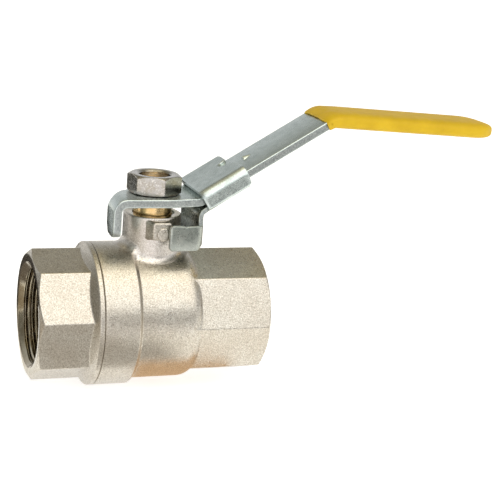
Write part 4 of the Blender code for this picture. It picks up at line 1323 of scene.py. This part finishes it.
def place_camera():
    right, up, back = camera_frame()
    data = bpy.data.cameras.new("camera")
    data.sensor_width = SENSOR
    data.lens = LENS
    data.clip_start = 0.01
    data.clip_end = 50
    camera = bpy.data.objects.new("camera", data)
    bpy.context.scene.collection.objects.link(camera)
    pose = Matrix((right, up, back)).transposed().to_4x4()
    pose.translation = AIM + back * CAMERA_DISTANCE
    camera.matrix_world = pose
    bpy.context.scene.camera = camera


def place_floor(material, level):
    mesh = bpy.data.meshes.new("floor")
    signs = ((-1, -1), (1, -1), (1, 1), (-1, 1))
    corners = [(x * FLOOR_HALF, y * FLOOR_HALF, level) for x, y in signs]
    mesh.from_pydata(corners, [], [(0, 1, 2, 3)])
    mesh.materials.append(material)
    floor = bpy.data.objects.new("floor", mesh)
    bpy.context.scene.collection.objects.link(floor)


def place_card(name, centre, facing, size, brightness):
    """A grey card that only reflections see, as a studio puts beside shiny metal."""
    half_wide = size[0] / 2
    half_high = size[1] / 2
    turn = Vector(facing).normalized().to_track_quat("Z", "Y")
    corners = []
    for across, up in ((-1, -1), (1, -1), (1, 1), (-1, 1)):
        corners.append(Vector(centre) + turn @ Vector((across * half_wide, up * half_high, 0)))
    mesh = bpy.data.meshes.new(name)
    mesh.from_pydata([tuple(c) for c in corners], [], [(0, 1, 2, 3)])
    mesh.materials.append(studio_card(name, brightness))
    card = bpy.data.objects.new(name, mesh)
    bpy.context.scene.collection.objects.link(card)
    card.visible_camera = False
    card.visible_diffuse = False
    card.visible_shadow = False


def area_light(name, direction, distance, size, power, colour):
    """A rectangular soft light looking at the object's middle."""
    data = bpy.data.lights.new(name, "AREA")
    data.shape = "RECTANGLE"
    data.size, data.size_y = size
    data.energy = power
    data.color = colour
    light = bpy.data.objects.new(name, data)
    bpy.context.scene.collection.objects.link(light)
    away = Vector(direction).normalized()
    light.location = AIM + away * distance
    light.rotation_mode = "QUATERNION"
    light.rotation_quaternion = away.to_track_quat("Z", "Y")


def room_light(stops):
    """A surrounding room, brighter towards the horizon and dark overhead."""
    world = bpy.data.worlds.new("room")
    world.use_nodes = True
    bpy.context.scene.world = world
    tree = world.node_tree
    background = tree.nodes["Background"]
    coords = tree.nodes.new("ShaderNodeTexCoord")
    split = tree.nodes.new("ShaderNodeSeparateXYZ")
    ramp = tree.nodes.new("ShaderNodeValToRGB")
    tree.links.new(coords.outputs["Generated"], split.inputs["Vector"])
    tree.links.new(split.outputs["Z"], ramp.inputs["Fac"])
    elements = ramp.color_ramp.elements
    elements[0].position = stops[0][0]
    elements[0].color = (*stops[0][1], 1.0)
    elements[1].position = stops[-1][0]
    elements[1].color = (*stops[-1][1], 1.0)
    for position, colour in stops[1:-1]:
        elements.new(position).color = (*colour, 1.0)
    tree.links.new(ramp.outputs["Color"], background.inputs["Color"])
    background.inputs["Strength"].default_value = 1.0


# ---------------------------------------------------------------- the scene

def main():
    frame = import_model()
    cad_low, cad_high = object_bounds()
    nickel = blasted_nickel(
        "look_blasted_nickel", (0.66, 0.61, 0.53), (0.73, 0.70, 0.63), (0.38, 0.34, 0.28))
    # A lighter copy of the cast nickel for the neck's outside: painted highlight.
    painted_highlight_nickel = blasted_nickel(
        "look_painted_highlight_nickel", (0.75, 0.71, 0.66), (0.82, 0.79, 0.74), (0.50, 0.45, 0.40))
    turned = turned_faces_painted_shade()
    brass = turned_brass()
    zinc = zinc_steel("look_zinc_steel", (0.47, 0.53, 0.51), (0.63, 0.69, 0.67))
    # A darker copy of the zinc sheet for the leg and hook: painted shade.
    painted_shade_zinc = zinc_steel("look_painted_shade_zinc", (0.30, 0.33, 0.30), (0.43, 0.45, 0.41))
    edge = zinc_edge()
    build_body([nickel, turned, painted_highlight_nickel])
    build_connector([nickel, turned])
    build_stem(brass)
    build_nut(plated_nut())
    build_lever([zinc, edge])
    build_lock_slide([zinc, edge], [painted_shade_zinc, edge])
    build_grip(yellow_pvc())
    rubber = black_rubber()
    ptfe = white_ptfe()
    looks = {
        "ball": polished_chrome(),
        "inlet_seat": ptfe,
        "outlet_seat": ptfe,
        "stem_thrust_washer": ptfe,
        "connector_o_ring": rubber,
        "stem_o_ring_lower": rubber,
        "stem_o_ring_upper": rubber,
    }
    for node, material in looks.items():
        mesh = frame["nodes"][node].data
        mesh.materials.clear()
        mesh.materials.append(material)
    place_floor(light_table(), cad_low.z - FLOOR_DROP)
    for name, (x, y), size, brightness in TABLE_CARDS:
        place_card(name, (x, y, cad_low.z - CARD_DROP), (0.0, 0.0, 1.0), size, brightness)
    for name, centre, facing, size, brightness in WALL_CARDS:
        place_card(name, centre, facing, size, brightness)
    bpy.context.scene.view_settings.view_transform = "Standard"
    room_light(ROOM_STOPS)
    area_light("key", KEY_DIRECTION, KEY_DISTANCE, KEY_SIZE, KEY_POWER, KEY_COLOUR)
    place_camera()


main()
